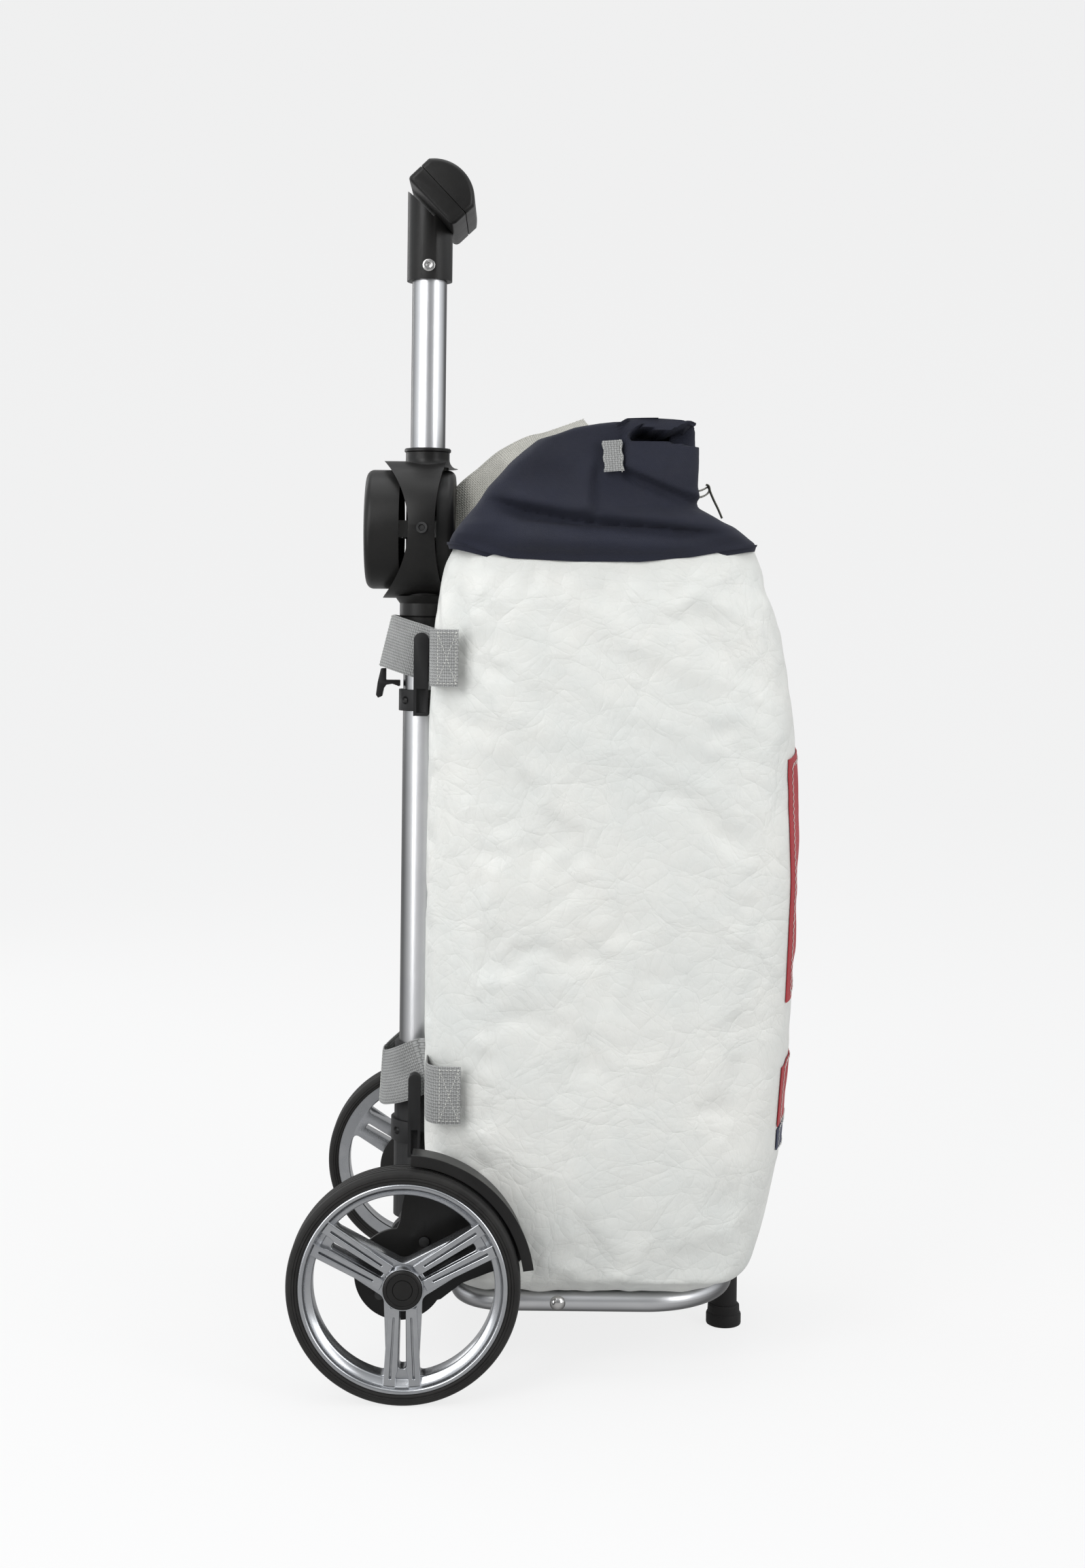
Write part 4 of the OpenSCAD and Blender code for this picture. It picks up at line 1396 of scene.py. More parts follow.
    def spider(self) -> bpy.types.Object:
        """The plate between the hub and the ring, with three windows and three slots."""
        disc = [((self.WINDOW + 1.5) * math.cos(a), (self.WINDOW + 1.5) * math.sin(a))
                for a in np.linspace(0, 2 * math.pi, 128, endpoint=False)]
        loops = [disc]
        for turn in (0, 120, 240):
            loops.append(self.window(turn))
            angle = math.radians(turn - 90)
            slot = rounded_outline([(20, -2.3, 1.5), (70, -3.2, 2.4), (70, 3.2, 2.4),
                                    (20, 2.3, 1.5)])
            loops.append([(x * math.cos(angle) - z * math.sin(angle),
                           x * math.sin(angle) + z * math.cos(angle)) for x, z in slot])
        return self.around(f"{self.side.word}_spider", loops, 3.0, 20.0, 0.9, True)

    def bars(self) -> bpy.types.Object:
        """The raised double spokes, each with a long groove, repeated around the hub."""
        loops = []
        for s in (-1, 1):
            bar = rounded_outline([(16.5, s * 2.6, 0.8), (71, s * 3.9, 2.0), (75, s * 5.2, 2.0),
                                   (84.2, s * 5.6, 0.4), (83, s * 16.2, 0.4), (16.5, s * 12, 0.8)])
            groove = rounded_outline([(25, s * 6.8, 0.5), (77, s * 9.3, 0.5), (77, s * 11.0, 0.5),
                                      (25, s * 8.0, 0.5)])
            for loop in (bar, groove):
                loops.append([(z, -x) for x, z in loop])
        return self.around(f"{self.side.word}_spoke_bars", loops, 18.5, 25.2, 0.8, False)

    def cap(self) -> bpy.types.Object:
        """The hub cap with its two raised circles."""
        out = Span.of(self.node("hub_cap")).size.y / MM
        wide = self.wide + 2
        profile = [(0, wide - 0.3), (8.0, wide - 0.3), (8.4, wide - 0.8), (8.9, wide - 0.1),
                   (13.2, wide), (13.6, wide - 0.4), (14.0, wide), (15.4, wide - 0.2),
                   (16.4, wide - 1.0), (16.8, wide - 2.4), (16.8, wide - out), (0, wide - out)]
        return self.turned(f"{self.side.word}_cap", profile, 96, closed=False)


# ---- frame parts ---------------------------------------------------------------------------


@dataclass
class FrameParts:
    """Brackets, claw, chassis and mudguards with moulded, rounded edges."""

    soft_edges: dict[str, tuple[str, str, float]] = field(default_factory=lambda: {
        "upper_bracket": ("bracket_upper", "dark_plastic", 1.0),
        "lower_bracket": ("bracket_lower", "dark_plastic", 1.0),
        "cart_hook": ("cart_claw", "dark_plastic", 0.8),
        "chassis": ("chassis_moulding", "dark_plastic", 1.2),
        "left_mudguard": ("mudguard_left", "black_plastic", 0.8),
        "right_mudguard": ("mudguard_right", "black_plastic", 0.8),
    })

    def build(self) -> None:
        """Makes and dresses the parts."""
        for node, (name, slot_name, width) in self.soft_edges.items():
            settle(softened(node, name, width, 2), "frame", slot_name, NODE_FINISHES[slot_name],
                   [node])


@dataclass
class Foot:
    """The rubber foot and its socket under the base loop's front."""

    def build(self) -> None:
        """Makes and dresses the foot's pieces."""
        span = Span.of("rubber_foot")
        r, h = span.size.x / 2 / MM, span.size.z / MM
        centre = Vector((span.mid.x, span.mid.y, 0))
        sole = [(0, 0), (r - 1.2, 0), (r - 0.3, 0.5), (r, 1.5), (r, 9.5), (r - 0.5, 10.8),
                (r - 1.3, 11.3), (r - 1.6, h - 1), (r - 2.4, h), (r - 4, h), (r - 4.1, h - 2),
                (0, h - 2)]
        settle(lathe("foot_rubber", sole, centre, Axis.Z, 64, closed=False), "base",
               "black_rubber", RUBBER, ["rubber_foot"])
        dress(frame["nodes"]["foot_socket"], RUBBER)


# ---- bag -----------------------------------------------------------------------------------


BAG_MID = np.array([165.0, 0.0, 0.0])

# Room that the cloth leaves in front of the tube and of the housing's lid, in millimetres.
TUBE_ROOM = 9
LID_ROOM = 2.5

# The seam between bag and hood, as distances ahead of the axle and heights in millimetres.
SEAM: tuple[Pair, ...] = ((20, 735.5), (33, 734.5), (85, 722), (145, 719.5), (197, 720),
                          (241, 725), (299, 735), (310, 736))


@dataclass(frozen=True)
class Level:
    """The bag's or the hood's outline at one height, in millimetres ahead of the axle.

    Args:
        z: The height.
        rear: Where its rear is.
        front: Where its front is.
        half: Half of its width.
    """

    z: float
    rear: float
    front: float
    half: float


class Outline:
    """Level outlines of the cloth, interpolated smoothly."""

    def __init__(self, levels: Sequence[Level], power: float = 0.27) -> None:
        """Keeps the levels and the roundness of the corners."""
        self.levels = levels
        self.power = power
        steps = np.linspace(levels[0].z, levels[-1].z, 240)
        table = np.array([[lv.z, lv.rear, lv.front, lv.half] for lv in levels])
        kernel = np.exp(-np.linspace(-2, 2, 15) ** 2)
        kernel /= kernel.sum()
        self.heights = steps
        self.values = []
        for k in (1, 2, 3):
            line = np.interp(steps, table[:, 0], table[:, k])
            padded = np.concatenate([2 * line[0] - line[7:0:-1], line,
                                     2 * line[-1] - line[-2:-9:-1]])
            self.values.append(np.convolve(padded, kernel, "valid"))

    def at(self, z: float) -> tuple[float, float, float]:
        """Rear, front and half width at a height."""
        return tuple(float(np.interp(z, self.heights, v)) for v in self.values)

    def ring(self, z: float, count: int) -> np.ndarray:
        """Evenly spaced points around the outline at a height.

        Args:
            z: The height in millimetres.
            count: How many points.

        Returns:
            X and Y of the points in millimetres, from the front's middle to the left.
        """
        rear, front, half = self.at(z)
        turn = np.linspace(0, 2 * math.pi, 1440, endpoint=False)
        cos, sin = np.cos(turn), np.sin(turn)
        mid, reach = (rear + front) / 2, (front - rear) / 2
        x = mid + reach * np.sign(cos) * np.abs(cos) ** self.power
        y = half * np.sign(sin) * np.abs(sin) ** self.power
        tube = Span.of("outer_tube")
        groove = tube.size.x / 2 / MM + TUBE_ROOM
        centre = (TUBE_X - AXLE.x) / MM
        round_it = np.sqrt(np.clip(groove ** 2 - y ** 2, 0, None))
        x = np.where(np.abs(y) < groove, np.maximum(x, centre + round_it), x)
        fade = float(np.clip((z - 655) / 30, 0, 1) * np.clip((835 - z) / 20, 0, 1))
        lid = (Span.of("front_cover").high.x - AXLE.x) / MM + LID_ROOM
        wall = lid - (1 - fade) * 40 - np.clip((np.abs(y) - 55) / 30, 0, None) * 30
        x = np.maximum(x, wall) if fade > 0 else x
        loop = np.stack([x, y], 1)
        loop = np.vstack([loop, loop[:1]])
        length = np.concatenate([[0], np.cumsum(np.linalg.norm(np.diff(loop, axis=0), axis=1))])
        want = np.linspace(0, length[-1], count, endpoint=False)
        return np.stack([np.interp(want, length, loop[:, k]) for k in (0, 1)], 1)


def height_on(line: Sequence[Pair], x: np.ndarray) -> np.ndarray:
    """Height of a line over the side view, by the distance ahead of the axle."""
    return np.interp(x, *zip(*line))


def away_from_middle(ring: np.ndarray) -> np.ndarray:
    """Level unit vectors that lead from the bag's middle to each point of a ring."""
    level = (ring - BAG_MID) * [1, 1, 0]
    return level / np.linalg.norm(level, axis=1, keepdims=True)


def wave(p: np.ndarray, scale: float, seed: float) -> np.ndarray:
    """Smooth noise at points given in millimetres.

    Args:
        p: The points, in rows.
        scale: The size of a bump in millimetres.
        seed: Moves the pattern.

    Returns:
        Values from about -1 to 1.
    """
    q = p.reshape(-1, 3) / scale + seed
    return np.array([noise.noise(Vector(v)) for v in q]).reshape(p.shape[:-1])


@dataclass
class Bag:
    """The white sailcloth bag.

    Args:
        columns: Points around it.
        rows: Points up it.
        wrinkle_cap: The most that a wrinkle moves the cloth, in millimetres.
        wrinkle_gain: How much the simulation's wrinkles are raised.
        smoothing: Rounds of smoothing that find the bulge under the wrinkles.
        frames: Frames of the simulation.
        outline: Its level outlines.
    """

    columns: int = 176
    rows: int = 92
    wrinkle_cap: float = 2.4
    wrinkle_gain: float = 1.2
    smoothing: int = 110
    frames: int = 26
    outline: Outline = field(default_factory=lambda: Outline([
        Level(76, 46, 276, 140), Level(78, 34, 286, 150), Level(84, 26, 295, 156),
        Level(98, 20, 305, 160), Level(130, 15, 315, 163), Level(192, 14, 330, 165),
        Level(312, 13, 341, 165), Level(440, 13, 346, 165), Level(575, 14, 340, 165),
        Level(664, 18, 325, 164), Level(709, 26, 310, 162), Level(727, 34, 302, 161)]))

    def base_rows(self) -> np.ndarray:
        """The bag's surface before it is wrinkled, in millimetres ahead of the axle."""
        rows = []
        share = np.linspace(0, 1, self.rows)
        low, high = self.outline.levels[0].z, self.outline.levels[-1].z
        for t in share:
            z = low + (high - low) * (t ** 1.12)
            ring = self.outline.ring(z, self.columns)
            rise = (height_on(SEAM, ring[:, 0]) - high) * float(np.clip((t - 0.82) / 0.18, 0, 1)) ** 1.5
            rows.append(np.column_stack([ring, z + rise]))
        return np.array(rows)

    def build(self) -> bpy.types.Object:
        """Makes the bag, wrinkles it and dresses it."""
        rest = self.base_rows()
        moved = self.simulated(rest)
        final = rest + self.tamed(moved - rest) + self.pleats(rest)
        bag = self.skin("bag_sailcloth", self.with_floor(final))
        settle(bag, "frame", "white_sailcloth", SAILCLOTH, ["bag_body"])
        return bag

    def with_floor(self, rows: np.ndarray) -> np.ndarray:
        """Adds rows that close the bag's underside."""
        edge = rows[0]
        mid = BAG_MID + [0, 0, edge[0, 2] + 1.0]
        floor = [mid + (edge - mid) * s for s in (0.02, 0.25, 0.5, 0.72, 0.88, 0.965)]
        return np.concatenate([np.array(floor), rows])

    def skin(self, name: str, rows: np.ndarray) -> bpy.types.Object:
        """Makes the surface a smooth mesh with a turned-in hem at the top."""
        top = rows[-1]
        away = away_from_middle(top)
        hem = [top - away * 1.5 + [0, 0, 0.4], top - away * 3.5 - [0, 0, 1.5],
               top - away * 4.0 - [0, 0, 18]]
        rows = np.concatenate([rows, np.array(hem)])
        draft = Draft()
        draft.grid(rows * MM + np.array([AXLE.x, 0, 0]), wrap=True)
        obj = draft.build(name, 80)
        smooth = obj.modifiers.new("smooth", "SUBSURF")
        smooth.levels = smooth.render_levels = 1
        applied(obj)
        obj.data.shade_smooth()
        return obj

    def simulated(self, rest: np.ndarray) -> np.ndarray:
        """Grows the cloth a little in a cloth simulation, so that it buckles between its seams."""
        seeded = rest + (wave(rest, 40, 3.0) + wave(rest, 19, 6.0))[..., None] * self.outward(rest)
        draft = Draft()
        index = draft.grid(seeded * MM, wrap=True)
        obj = draft.build("bag_simulation", 80)
        pins = obj.vertex_groups.new(name="held")
        for r in range(self.rows):
            for c in range(self.columns):
                x, y, z = rest[r, c]
                held = r < 3 or r >= self.rows - 2 or x < 30 and abs(y) < 60
                pins.add([int(index[r, c])], 1.0 if held else 0.0, "REPLACE")
        mod = obj.modifiers.new("cloth", "CLOTH")
        cloth = mod.settings
        cloth.quality = 5
        cloth.mass = 0.25
        cloth.tension_stiffness = cloth.compression_stiffness = 25
        cloth.shear_stiffness = 8
        cloth.bending_stiffness = 0.03
        cloth.shrink_min = cloth.shrink_max = -0.035
        cloth.use_pressure = True
        cloth.uniform_pressure_force = 0.4
        cloth.vertex_group_mass = "held"
        cloth.effector_weights.gravity = 0
        mod.collision_settings.use_collision = False
        mod.collision_settings.use_self_collision = False
        mod.point_cache.frame_start = 1
        mod.point_cache.frame_end = self.frames
        scene = bpy.context.scene
        for step in range(1, self.frames + 1):
            scene.frame_set(step)
        graph = bpy.context.evaluated_depsgraph_get()
        done = obj.evaluated_get(graph).data
        flat = np.empty(len(done.vertices) * 3, np.float32)
        done.vertices.foreach_get("co", flat)
        scene.frame_set(1)
        bpy.data.objects.remove(obj)
        return flat.reshape(self.rows, self.columns, 3).astype(float) / MM

    @staticmethod
    def outward(rest: np.ndarray) -> np.ndarray:
        """Unit vectors out of the surface."""
        du = np.roll(rest, -1, 1) - np.roll(rest, 1, 1)
        dv = np.gradient(rest, axis=0)
        out = np.cross(du, dv)
        return out / np.maximum(np.linalg.norm(out, axis=-1, keepdims=True), 1e-9)

    def tamed(self, change: np.ndarray) -> np.ndarray:
        """Keeps the wrinkles of a change, takes most of its bulge away and caps the rest."""
        broad = change.copy()
        for _ in range(self.smoothing):
            around = (np.roll(broad, 1, 1) + np.roll(broad, -1, 1)) / 2
            upright = np.concatenate([broad[:1], (broad[:-2] + broad[2:]) / 2, broad[-1:]])
            broad = broad * 0.2 + around * 0.4 + upright * 0.4
        raised = (change - broad) * self.wrinkle_gain
        share = np.linalg.norm(raised, axis=-1, keepdims=True) / self.wrinkle_cap
        return raised * np.tanh(share) / np.maximum(share, 1e-6)

    def pleats(self, rest: np.ndarray) -> np.ndarray:
        """Soft diagonal folds below the hood, gathers at the foot and the upright side seams."""
        x, y, z = rest[..., 0], rest[..., 1], rest[..., 2]
        side = np.clip((np.abs(y) - 120) / 30, 0, 1)
        slant = rest @ np.array([0.42, 0.15, 0.9])
        lines = np.stack([slant / 26, (x * 0.9 - z * 0.42) / 150, y / 90], -1)
        upper = np.clip((z - 470) / 120, 0, 1) * np.clip((727 - z) / 30, 0, 1)
        fold = 1 - np.abs(wave(lines * 30, 30, 7.5)) * 3
        amount = 1.8 * np.clip(fold, -0.5, 1) * upper * side
        foot = np.exp(-((z - 84) / 26) ** 2)
        around = np.stack([x / 13, y / 13, z / 90], -1)
        amount += 2.6 * wave(around * 30, 30, 2.2) * foot
        seam = np.exp(-((x - 43.5) / 3.6) ** 2) * side
        amount -= 1.8 * seam
        return amount[..., None] * self.outward(rest)


@dataclass
class Hood:
    """The navy roll-top: a wedge with a folded roll along its front.

    Args:
        columns: Points around it.
        rows: Points up it.
        outline: Its level outlines.
    """

    # Lines over the side view, as distances ahead of the axle and heights in millimetres.
    VALLEY: ClassVar[tuple[Pair, ...]] = ((70, 772), (92, 766), (155, 755), (247, 746), (270, 744))
    ROLL_EDGE: ClassVar[tuple[Pair, ...]] = ((178, 803), (185, 798), (249, 771))
    MOUTH_FLOOR: ClassVar[tuple[Pair, ...]] = ((183, 825), (215, 825), (245, 820))
    MOUTH_ROOF: ClassVar[tuple[Pair, ...]] = ((183, 827), (194, 837), (219, 832.5), (242, 841),
                                              (246, 838))
    columns: int = 400
    rows: int = 62
    outline: Outline = field(default_factory=lambda: Outline([
        Level(722, 28, 303, 160), Level(731, 29, 300, 161), Level(740, 32, 292, 165),
        Level(751, 39, 281, 166), Level(760, 46, 266, 163), Level(768, 52, 250, 161),
        Level(785, 64, 246, 160), Level(806, 82, 246, 160), Level(828, 108, 246, 159),
        Level(837, 138, 246, 158), Level(842, 172, 243, 156)], 0.13))

    def surface(self) -> np.ndarray:
        """The hood's surface with its folds, in millimetres ahead of the axle."""
        rows = []
        for t in np.linspace(0, 1, self.rows):
            z = 722 + 120 * t
            ring = self.outline.ring(z, self.columns)
            drop = (height_on(SEAM, ring[:, 0]) - 727 + 3) * (1 - min(1.0, t / 0.3)) ** 1.5
            rows.append(np.column_stack([ring, z + drop + (3 if t == 0 else 0)]))
        base = np.array(rows)
        moved = base + self.folds(base)[..., None] * Bag.outward(base)
        top = moved[-1]
        mid = np.column_stack([top[:, 0] * 0 + 212, top[:, 1], top[:, 2]])
        caps = [mid + (top - mid) * [s, 1 - 0.04 * (1 - s), 1] + [0, 0, 0.8 * (1 - s ** 2)]
                for s in (0.9, 0.75, 0.55, 0.35, 0.15, 0.0)]
        return np.concatenate([moved, np.array(caps)])

    @staticmethod
    def folds(base: np.ndarray) -> np.ndarray:
        """How far each point lies out of the plain wedge, in millimetres."""
        x, y, z = base[..., 0], base[..., 1], base[..., 2]
        side = np.clip((np.abs(y) - 135) / 22, 0, 1)

        def near(value: np.ndarray, width: float) -> np.ndarray:
            return np.exp(-(value / width) ** 2)

        def step(value: np.ndarray, width: float) -> np.ndarray:
            s = np.clip(value / width, 0, 1)
            return s * s * (3 - 2 * s)

        along = step(x - 55, 45) * step(275 - x, 40)
        valley = z - height_on(Hood.VALLEY, x)
        out = 9 * near(z - 738, 13) * along
        out -= 12 * along * np.where(valley < 0, near(valley, 11), near(valley, 3.0))
        out += 4 * along * near(valley - 9, 8)
        out -= 4 * near(x - 112, 26) * near(z - 795, 16)
        crease = step(z - 756, 6) * step(812 - z, 22)
        out += crease * (4.0 * near(x - 149, 10) - 4.5 * near(x - 158.5, 4.5))
        edge = z - height_on(Hood.ROLL_EDGE, x)
        roll = step(edge, 3.5) * step(x - 180, 5)
        out += 7 * roll - 3.5 * near(edge + 3, 5) * step(x - 176, 8)
        lower = z - height_on(Hood.MOUTH_FLOOR, x)
        upper = height_on(Hood.MOUTH_ROOF, x) - z
        mouth = step(lower, 2.6) * step(upper, 2.6) * step(x - 186, 5) * step(246 - x, 3)
        out -= 34 * mouth
        out += 2.2 * wave(base, 46, 11.0) + 1.0 * wave(base, 19, 4.0)
        flat = 1.8 * wave(base * [1, 0.4, 1], 30, 8.0)
        return out * side + flat * (1 - side)

    def build(self) -> None:
        """Makes and dresses the hood."""
        rows = self.surface()
        edge = rows[0]
        away = away_from_middle(edge)
        hem = np.array([edge - away * 3 - [0, 0, 6], edge - away * 1.2 - [0, 0, 1.5]])
        draft = Draft()
        draft.grid(np.concatenate([hem, rows]) * MM + np.array([AXLE.x, 0, 0]), wrap=True)
        hood = draft.build("hood_canvas", 60)
        settle(hood, "frame", "navy_fabric", NAVY, ["bag_hood"])


@dataclass
class Strap:
    """The wide carry strap that climbs the hood's rear slope, banked to the right side."""

    upper: tuple[Pair, ...] = ((152, 859), (116, 846), (97, 841), (71, 827), (50, 809), (28, 789),
                               (15, 766), (16, 748), (24, 735))
    lower: tuple[Pair, ...] = ((156, 850), (118, 832), (95, 815), (78, 794), (60, 774), (42, 757),
                               (30, 745), (26, 739), (27, 732))

    def build(self) -> None:
        """Makes and dresses the strap, its cross seam and its stitches."""
        far = smooth_path([(ahead(x), 0.018, z * MM) for x, z in self.upper], 0.004)
        near = smooth_path([(ahead(x), -0.018, z * MM) for x, z in self.lower], 0.004)
        count = min(len(far), len(near))
        pick = [np.linspace(0, len(line) - 1, count).round().astype(int) for line in (far, near)]
        far, near = far[pick[0]], near[pick[1]]
        path = (far + near) / 2
        across = far - near
        strap = ribbon("strap_webbing", path, across, np.linalg.norm(across, axis=1) * 1.02,
                       WEBBING_THICK)
        settle(strap, "frame", "beige_webbing", BEIGE_WEBBING, ["carry_strap"])
        sides, normals = frames_along(path, across)
        half = np.linalg.norm(across, axis=1)[:, None] / 2
        rows = [path + sides * half * k * 0.88 + normals * s * STITCH_LIFT
                for s in (1, -1) for k in (-1, 1)]
        third = int(count * 0.3)
        for offset in (0, 2):
            at = third + offset
            rows += [np.array([path[at] + sides[at] * half[at] * k + normals[at] * s * STITCH_LIFT
                               for k in np.linspace(-0.9, 0.9, 12)]) for s in (-1, 1)]
        settle(stitches("strap_stitches", rows, 3.4, 2.4, 0.28), "frame", "beige_webbing")


@dataclass
class SideTabs:
    """Short webbing tabs that come out of the roll's ends."""

    def build(self) -> None:
        """Makes and dresses the tabs on both sides."""
        parts = []
        lines = []
        for side in Side:
            y = side.value * 0.1665
            path = np.array([(ahead(171.5 + 2.2 * t), y - side.value * 0.0012 * (1 - t) ** 2,
                              (825 - 27 * t) * MM) for t in np.linspace(0, 1, 14)])
            wide = 0.017 + 0.0012 * np.sin(np.linspace(0, 14, 14))
            tab = ribbon("tab", path, np.array([1.0, 0, -0.12]), wide, 0.0018, 8)
            parts.append(tab)
            lines.append(path + [0.0068, side.value * 0.0012, 0])
        settle(joined("tab_webbing", parts), "frame", "grey_webbing", GREY_WEBBING, ["side_tabs"])
        settle(stitches("tab_stitches", lines, 2.6, 1.9, 0.3), "frame", "grey_webbing")


@dataclass
class Closure:
    """The flat hook and the two thin loops that hold the roll closed in front."""

    def build(self) -> None:
        """Makes and dresses the hook and the loops."""
        hook = [(272.5, 797), (275, 795.5), (276.5, 790), (280, 782), (284, 774), (288, 765)]
        path = smooth_path([(ahead(x - 3.5), 0, z * MM) for x, z in hook], 0.0012)
        blade = ribbon("hook", path, np.array([0, 1.0, 0]),
                       0.011 - 0.004 * np.linspace(0, 1, len(path)), 0.0016, 6)
        settle(blade, "frame", "olive_hook", OLIVE, ["closure_hook"])
        parts = []
        for y in (-3.2, 3.2):
            route = [(252, y, 789), (259, y, 786.5), (266, y * 1.1, 785), (272, y, 787),
                     (275.5, y * 0.6, 791), (274, y * 0.5, 794.5), (269, y * 0.8, 792),
                     (260, y, 790), (252, y, 793)]
            line = smooth_path([(ahead(a - 3.5), b * MM, c * MM) for a, b, c in route], 0.0012)
            parts.append(tube_along("loop", line, 0.0009, steps=10, up=(0, 1, 0)))
        settle(joined("hook_loops", parts), "frame", "beige_webbing", BEIGE_WEBBING,
               ["closure_loop"])


@dataclass
class Band:
    """Webbing that is sewn on the bag's sides and runs behind the tube.

    Args:
        node: The CAD band.
        lift: How much higher it runs behind the tube, in millimetres.
        lean: How far its upper edge leans ahead there, in millimetres.
        reach: How far ahead of the axle its sewn ends reach, in millimetres.
    """

    node: str
    lift: float
    lean: float
    reach: float

    def build(self) -> None:
        """Makes and dresses the band, its sewn ends and its stitches."""
        span = Span.of(self.node)
        mid, wide = span.mid.z, span.size.z
        half = [(self.reach, 167.6), (30, 167.4), (21, 163), (15.5, 150), (14.8, 110), (14.5, 75),
                (12, 55), (2, 47), (-10, 42), (-22, 30), (-31, 14), (-33, 0)]
        route = [(x, -y) for x, y in half] + [(x, y) for x, y in reversed(half[:-1])]
        line = smooth_path([(ahead(x), y * MM, mid) for x, y in route], 0.004)
        back = np.clip((ahead(10) - line[:, 0]) / 0.04, 0, 1)
        line[:, 2] += self.lift * MM * back
        side = np.column_stack([self.lean / 50 * back, 0 * back, 1 + 0 * back])
        band = ribbon(f"{self.node}_webbing", line, side, wide, WEBBING_THICK, 16)
        settle(band, "frame", "grey_webbing", GREY_WEBBING, [self.node])
        settle(stitches(f"{self.node}_stitches", list(self.seams(line, side, wide)), 3.0, 2.2, 0.3),
               "frame", "grey_webbing")

    def seams(self, line: np.ndarray, side: np.ndarray, wide: float) -> Iterable[np.ndarray]:
        """Lines of the box and the cross on both sewn ends, and of the upright seams behind."""
        sides, normals = frames_along(line, side)
        length = np.concatenate([[0], np.cumsum(np.linalg.norm(np.diff(line, axis=0), axis=1))])
        total = length[-1]

        def spot(s: float, k: float, face: int) -> np.ndarray:
            i = [np.interp(s, length, src[:, a]) for src in (line, sides, normals) for a in range(3)]
            return (np.array(i[:3]) + np.array(i[3:6]) * wide * k
                    + np.array(i[6:]) * face * STITCH_LIFT)

        def stroke(a: Pair, b: Pair, face: int) -> np.ndarray:
            return np.array([spot(a[0] + (b[0] - a[0]) * t, a[1] + (b[1] - a[1]) * t, face)
                             for t in np.linspace(0, 1, 16)])

        for face in (-1, 1):
            for flip in (False, True):
                ends = [(0.002, -0.44), (0.018, -0.44), (0.018, 0.44), (0.002, 0.44)]
                ends = [(total - s, k) if flip else (s, k) for s, k in ends]
                for i, a in enumerate(ends):
                    yield stroke(a, ends[(i + 1) % 4], face)
                yield stroke(ends[0], ends[2], face)
                yield stroke(ends[1], ends[3], face)
                upright = total - 0.205 if flip else 0.205
                yield stroke((upright, -0.47), (upright, 0.47), face)


@dataclass
class Patches:
    """Coloured cloth shapes with zigzag stitching on the bag's front.

    Args:
        bag: The finished bag.
    """

    bag: bpy.types.Object

    def front(self, y: float, z: float, out: float) -> Vector:
        """The point of the bag's front at a place across and a height, so far out, in metres."""
        start = Vector((ahead(500), y * MM, z * MM))
        _, spot, normal, _ = self.bag.ray_cast(start, Vector((-1, 0, 0)))
        return spot + normal * out

    def patch(self, name: str, corners: Sequence[Pair], finish: Finish, slot: str,
              replaces: Sequence[str] = ()) -> None:
        """Lays a four-cornered shape on the front and sews it down with a zigzag.

        Args:
            name: The piece's name.
            corners: Y and Z of the corners in millimetres, from the lower right on, as seen from
                the front.
            finish: Its finish.
            slot: Its material slot.
            replaces: The CAD nodes that it stands for.
        """
        c = np.array(corners, float)
        rows = []
        for v in np.linspace(0, 1, 48):
            a, b = c[0] + (c[3] - c[0]) * v, c[1] + (c[2] - c[1]) * v
            rows.append([self.front(*(a + (b - a) * u), 0.0016)
                         for u in np.linspace(0, 1, 72)])
        grid = np.array([[tuple(p) for p in row] for row in rows])
        draft = Draft()
        draft.grid(grid)
        obj = draft.build(name, 80)
        thick = obj.modifiers.new("thick", "SOLIDIFY")
        thick.thickness = 0.0009
        thick.offset = -1
        applied(obj)
        obj.data.shade_smooth()
        obj.data.set_sharp_from_angle(angle=math.radians(60))
        settle(obj, "frame", slot, finish, replaces)
        lines = []
        inner = c * 0.94 + c.mean(0) * 0.06
        for i in range(4):
            a, b = inner[i], inner[(i + 1) % 4]
            count = max(4, int(np.linalg.norm(b - a) / 3.2))
            out = (b - a) / np.linalg.norm(b - a) @ np.array([[0, 1], [-1, 0]])
            spots = [a + (b - a) * k / count + out * (1.8 if k % 2 else -1.8)
                     for k in range(count + 1)]
            lines.append(np.array([tuple(self.front(*spot, 0.0021)) for spot in spots]))
        settle(stitches(f"{name}_zigzag", lines, 1.8, 2.0, 0.32), "frame", slot)

    def build(self) -> None:
        """Makes the upper and the lower patch."""
        self.patch("patch_upper", [(142, 362), (-142, 333), (-142, 547), (142, 590)], RED_CLOTH,
                   "red_fabric", ["front_patches"])
        self.patch("patch_lower", [(136, 250), (-136, 222), (-139, 275), (139, 300)], RED_CLOTH,
                   "red_fabric")
        self.patch("patch_lower_navy", [(128, 215), (-131, 200), (-135, 219), (132, 246)],
                   BLUE_CLOTH, "red_fabric")


# ---- stage ---------------------------------------------------------------------------------


@dataclass(frozen=True)
class Lamp:
    """One area light.

    Args:
        name: Its name.
        place: Its place.
        target: Where it points.
        size: Its width and height.
        power: Its power in watts.
    """

    name: str
    place: tuple[float, float, float]
    target: tuple[float, float, float]
    size: Pair
    power: float

    def build(self) -> None:
        """Makes the light."""
        light = bpy.data.lights.new(self.name, "AREA")
        light.shape = "RECTANGLE"
        light.size, light.size_y = self.size
        light.energy = self.power
        obj = placed(self.name, light)
        obj.location = self.place
        aim = Vector(self.target) - Vector(self.place)
        obj.rotation_euler = aim.to_track_quat("-Z", "Y").to_euler()


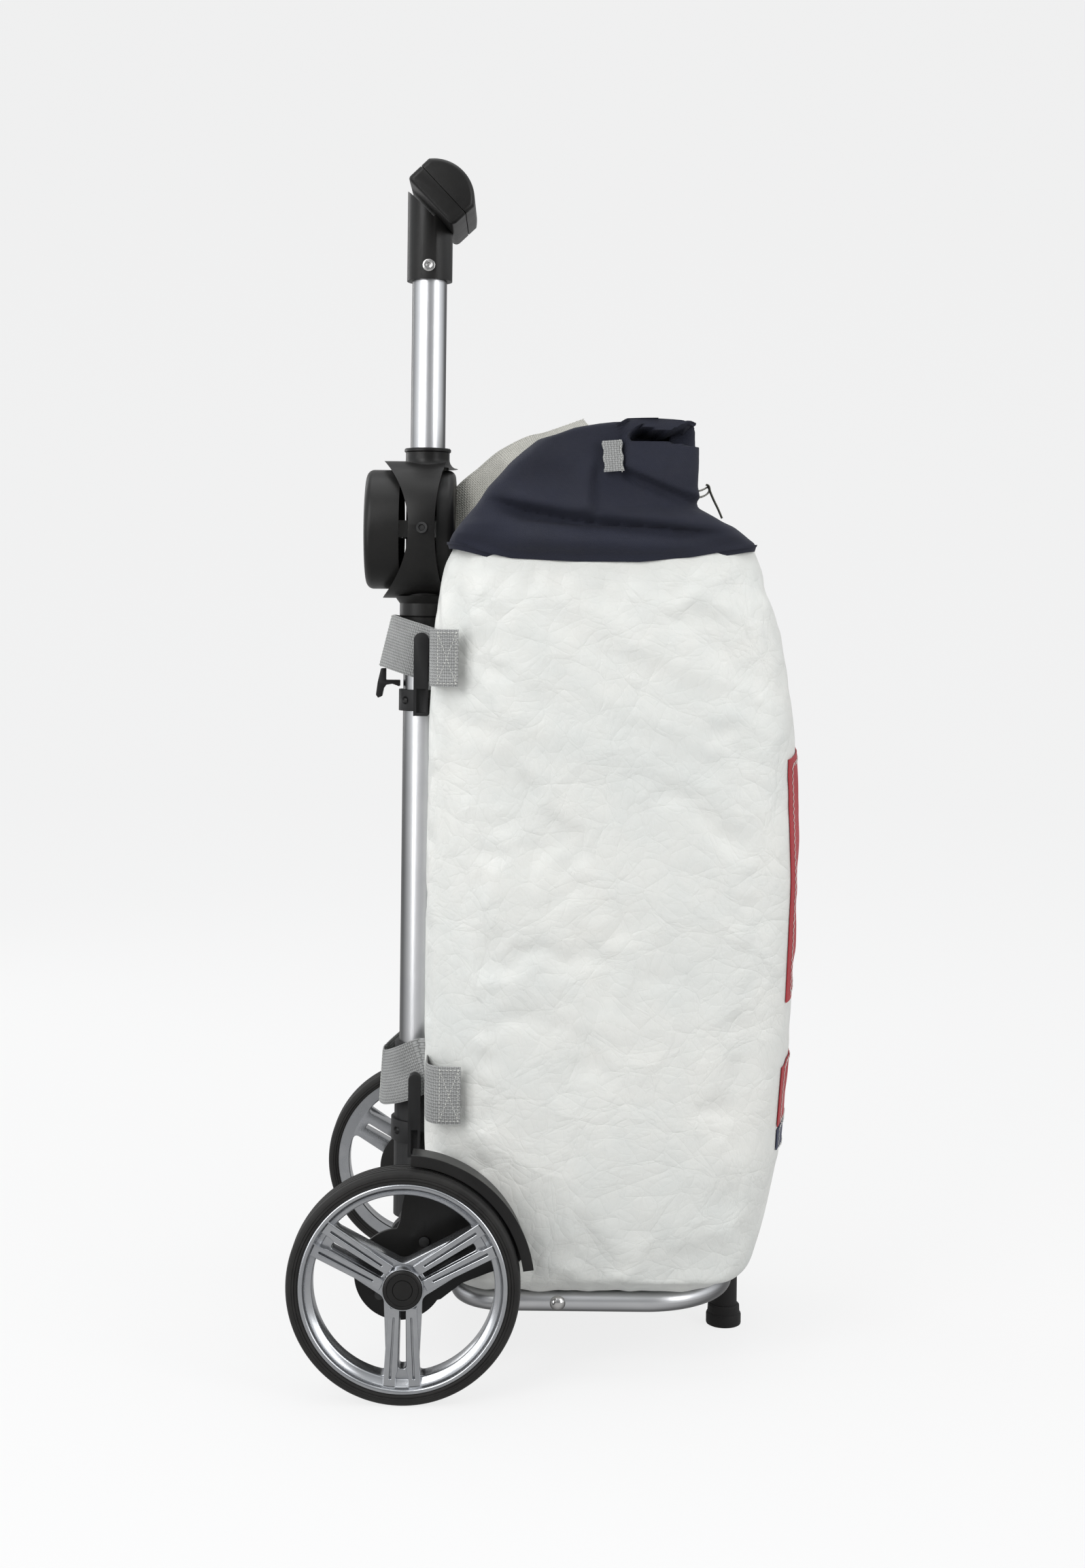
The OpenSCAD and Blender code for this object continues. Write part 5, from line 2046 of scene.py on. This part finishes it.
class Stage:
    """Floor, lights, surroundings and camera."""

    def build(self) -> None:
        """Makes all of them."""
        self.floor()
        self.camera()
        self.surroundings()
        bpy.context.scene.view_settings.view_transform = "Standard"
        for lamp in (
            Lamp("key", (-1.3, -2.1, 1.9), (0, 0, 0.6), (1.0, 1.8), 30),
            Lamp("fill", (1.9, -1.7, 1.2), (0, 0, 0.5), (0.9, 2.0), 20),
            Lamp("top", (0, 0, 2.6), (0, 0, 0), (1.6, 1.6), 12),
            Lamp("strip", (-1.7, -1.35, 0.65), (0, 0, 0.5), (0.3, 1.3), 7),
            Lamp("rim", (-1.6, 1.4, 1.3), (-0.1, 0, 0.6), (0.6, 1.8), 8),
        ):
            lamp.build()

    def surroundings(self) -> None:
        """A studio that is bright to the sides and above, and darker behind the camera."""
        world = bpy.data.worlds.new("studio")
        world.use_nodes = True
        w = Wiring(world.node_tree)
        where = w.add("ShaderNodeTexCoord")
        split = w.add("ShaderNodeSeparateXYZ")
        w.join(where.outputs["Generated"], split.inputs[0])
        total = None
        for value, low, high, weight in (
            (w.math("ABSOLUTE", split.outputs["X"]), 0.5, 0.95, 0.95),
            (split.outputs["Z"], 0.35, 0.9, 0.5),
        ):
            ramp = w.add("ShaderNodeMapRange", interpolation_type="SMOOTHSTEP", From_Min=low,
                         From_Max=high, To_Max=weight)
            w.join(value, ramp.inputs["Value"])
            total = ramp.outputs[0] if total is None else w.math("ADD", total, ramp.outputs[0])
        shade = world.node_tree.nodes["Background"]
        shade.inputs["Color"].default_value = (0.96, 0.98, 1, 1)
        w.join(w.math("ADD", total, 0.26), shade.inputs["Strength"])
        bpy.context.scene.world = world

    def floor(self) -> None:
        """A pale floor that curves up into a wall far behind."""
        draft = Draft()
        profile = [(-14.0, 0.0), (5.0, 0.0)]
        profile += [(5 + 3 * math.sin(a), 3 - 3 * math.cos(a)) for a in np.linspace(0.1, 1.5708, 12)]
        profile += [(8.0, 9.0)]
        draft.grid(np.array([[(x, y, z) for x in (-14.0, 14.0)] for y, z in profile]))
        obj = draft.build("backdrop", 80)
        made = bpy.data.materials.new("backdrop_paper")
        made.use_nodes = True
        shader = made.node_tree.nodes["Principled BSDF"]
        shader.inputs["Base Color"].default_value = (0.14, 0.14, 0.14, 1)
        shader.inputs["Emission Color"].default_value = (0.88, 0.88, 0.88, 1)
        w = Wiring(made.node_tree)
        path = w.add("ShaderNodeLightPath")
        glow = w.add("ShaderNodeMapRange", To_Min=0.42, To_Max=0.9)
        w.join(path.outputs["Is Camera Ray"], glow.inputs["Value"])
        w.join(glow.outputs[0], shader.inputs["Emission Strength"])
        shader.inputs["Specular IOR Level"].default_value = 0.0
        shader.inputs["Roughness"].default_value = 1.0
        obj.data.materials.append(made)

    def camera(self) -> None:
        """The camera, level and square to the trolley's right side."""
        data = bpy.data.cameras.new("main")
        data.sensor_fit = "VERTICAL"
        data.sensor_height = 36
        data.lens = 46.6
        data.shift_x = 0.0152
        data.shift_y = -0.1166
        obj = placed("main", data)
        obj.location = (ahead(91.9), -1.931, 0.6842)
        obj.rotation_euler = Euler((math.radians(90), math.radians(-0.63), 0))
        bpy.context.scene.camera = obj


# ---- the whole trolley ---------------------------------------------------------------------


def flatten_with_base(pieces: Iterable[bpy.types.Object]) -> None:
    """Gives the bag and what is sewn on it meshes of their own."""
    for piece in pieces:
        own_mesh(piece)


def main() -> None:
    """Builds the looks from the handle to the stage."""
    logging.basicConfig(level=logging.INFO, format="%(message)s")
    dress_cad_nodes()
    for part in (Handle(), LockHousing(), Wheel(Side.LEFT), Wheel(Side.RIGHT), FrameParts(),
                 Foot(), Band("upper_band", 11.5, 12, 40), Band("lower_band", -20, 3, 46)):
        part.build()
    before = set(bpy.data.objects)
    bag = Bag().build()
    bpy.context.view_layer.update()
    for part in (Hood(), Strap(), SideTabs(), Closure(), Patches(bag)):
        part.build()
    flatten_with_base([o for o in bpy.data.objects if o not in before and o.type == "MESH"])
    Stage().build()


if __name__ == "__main__":
    main()
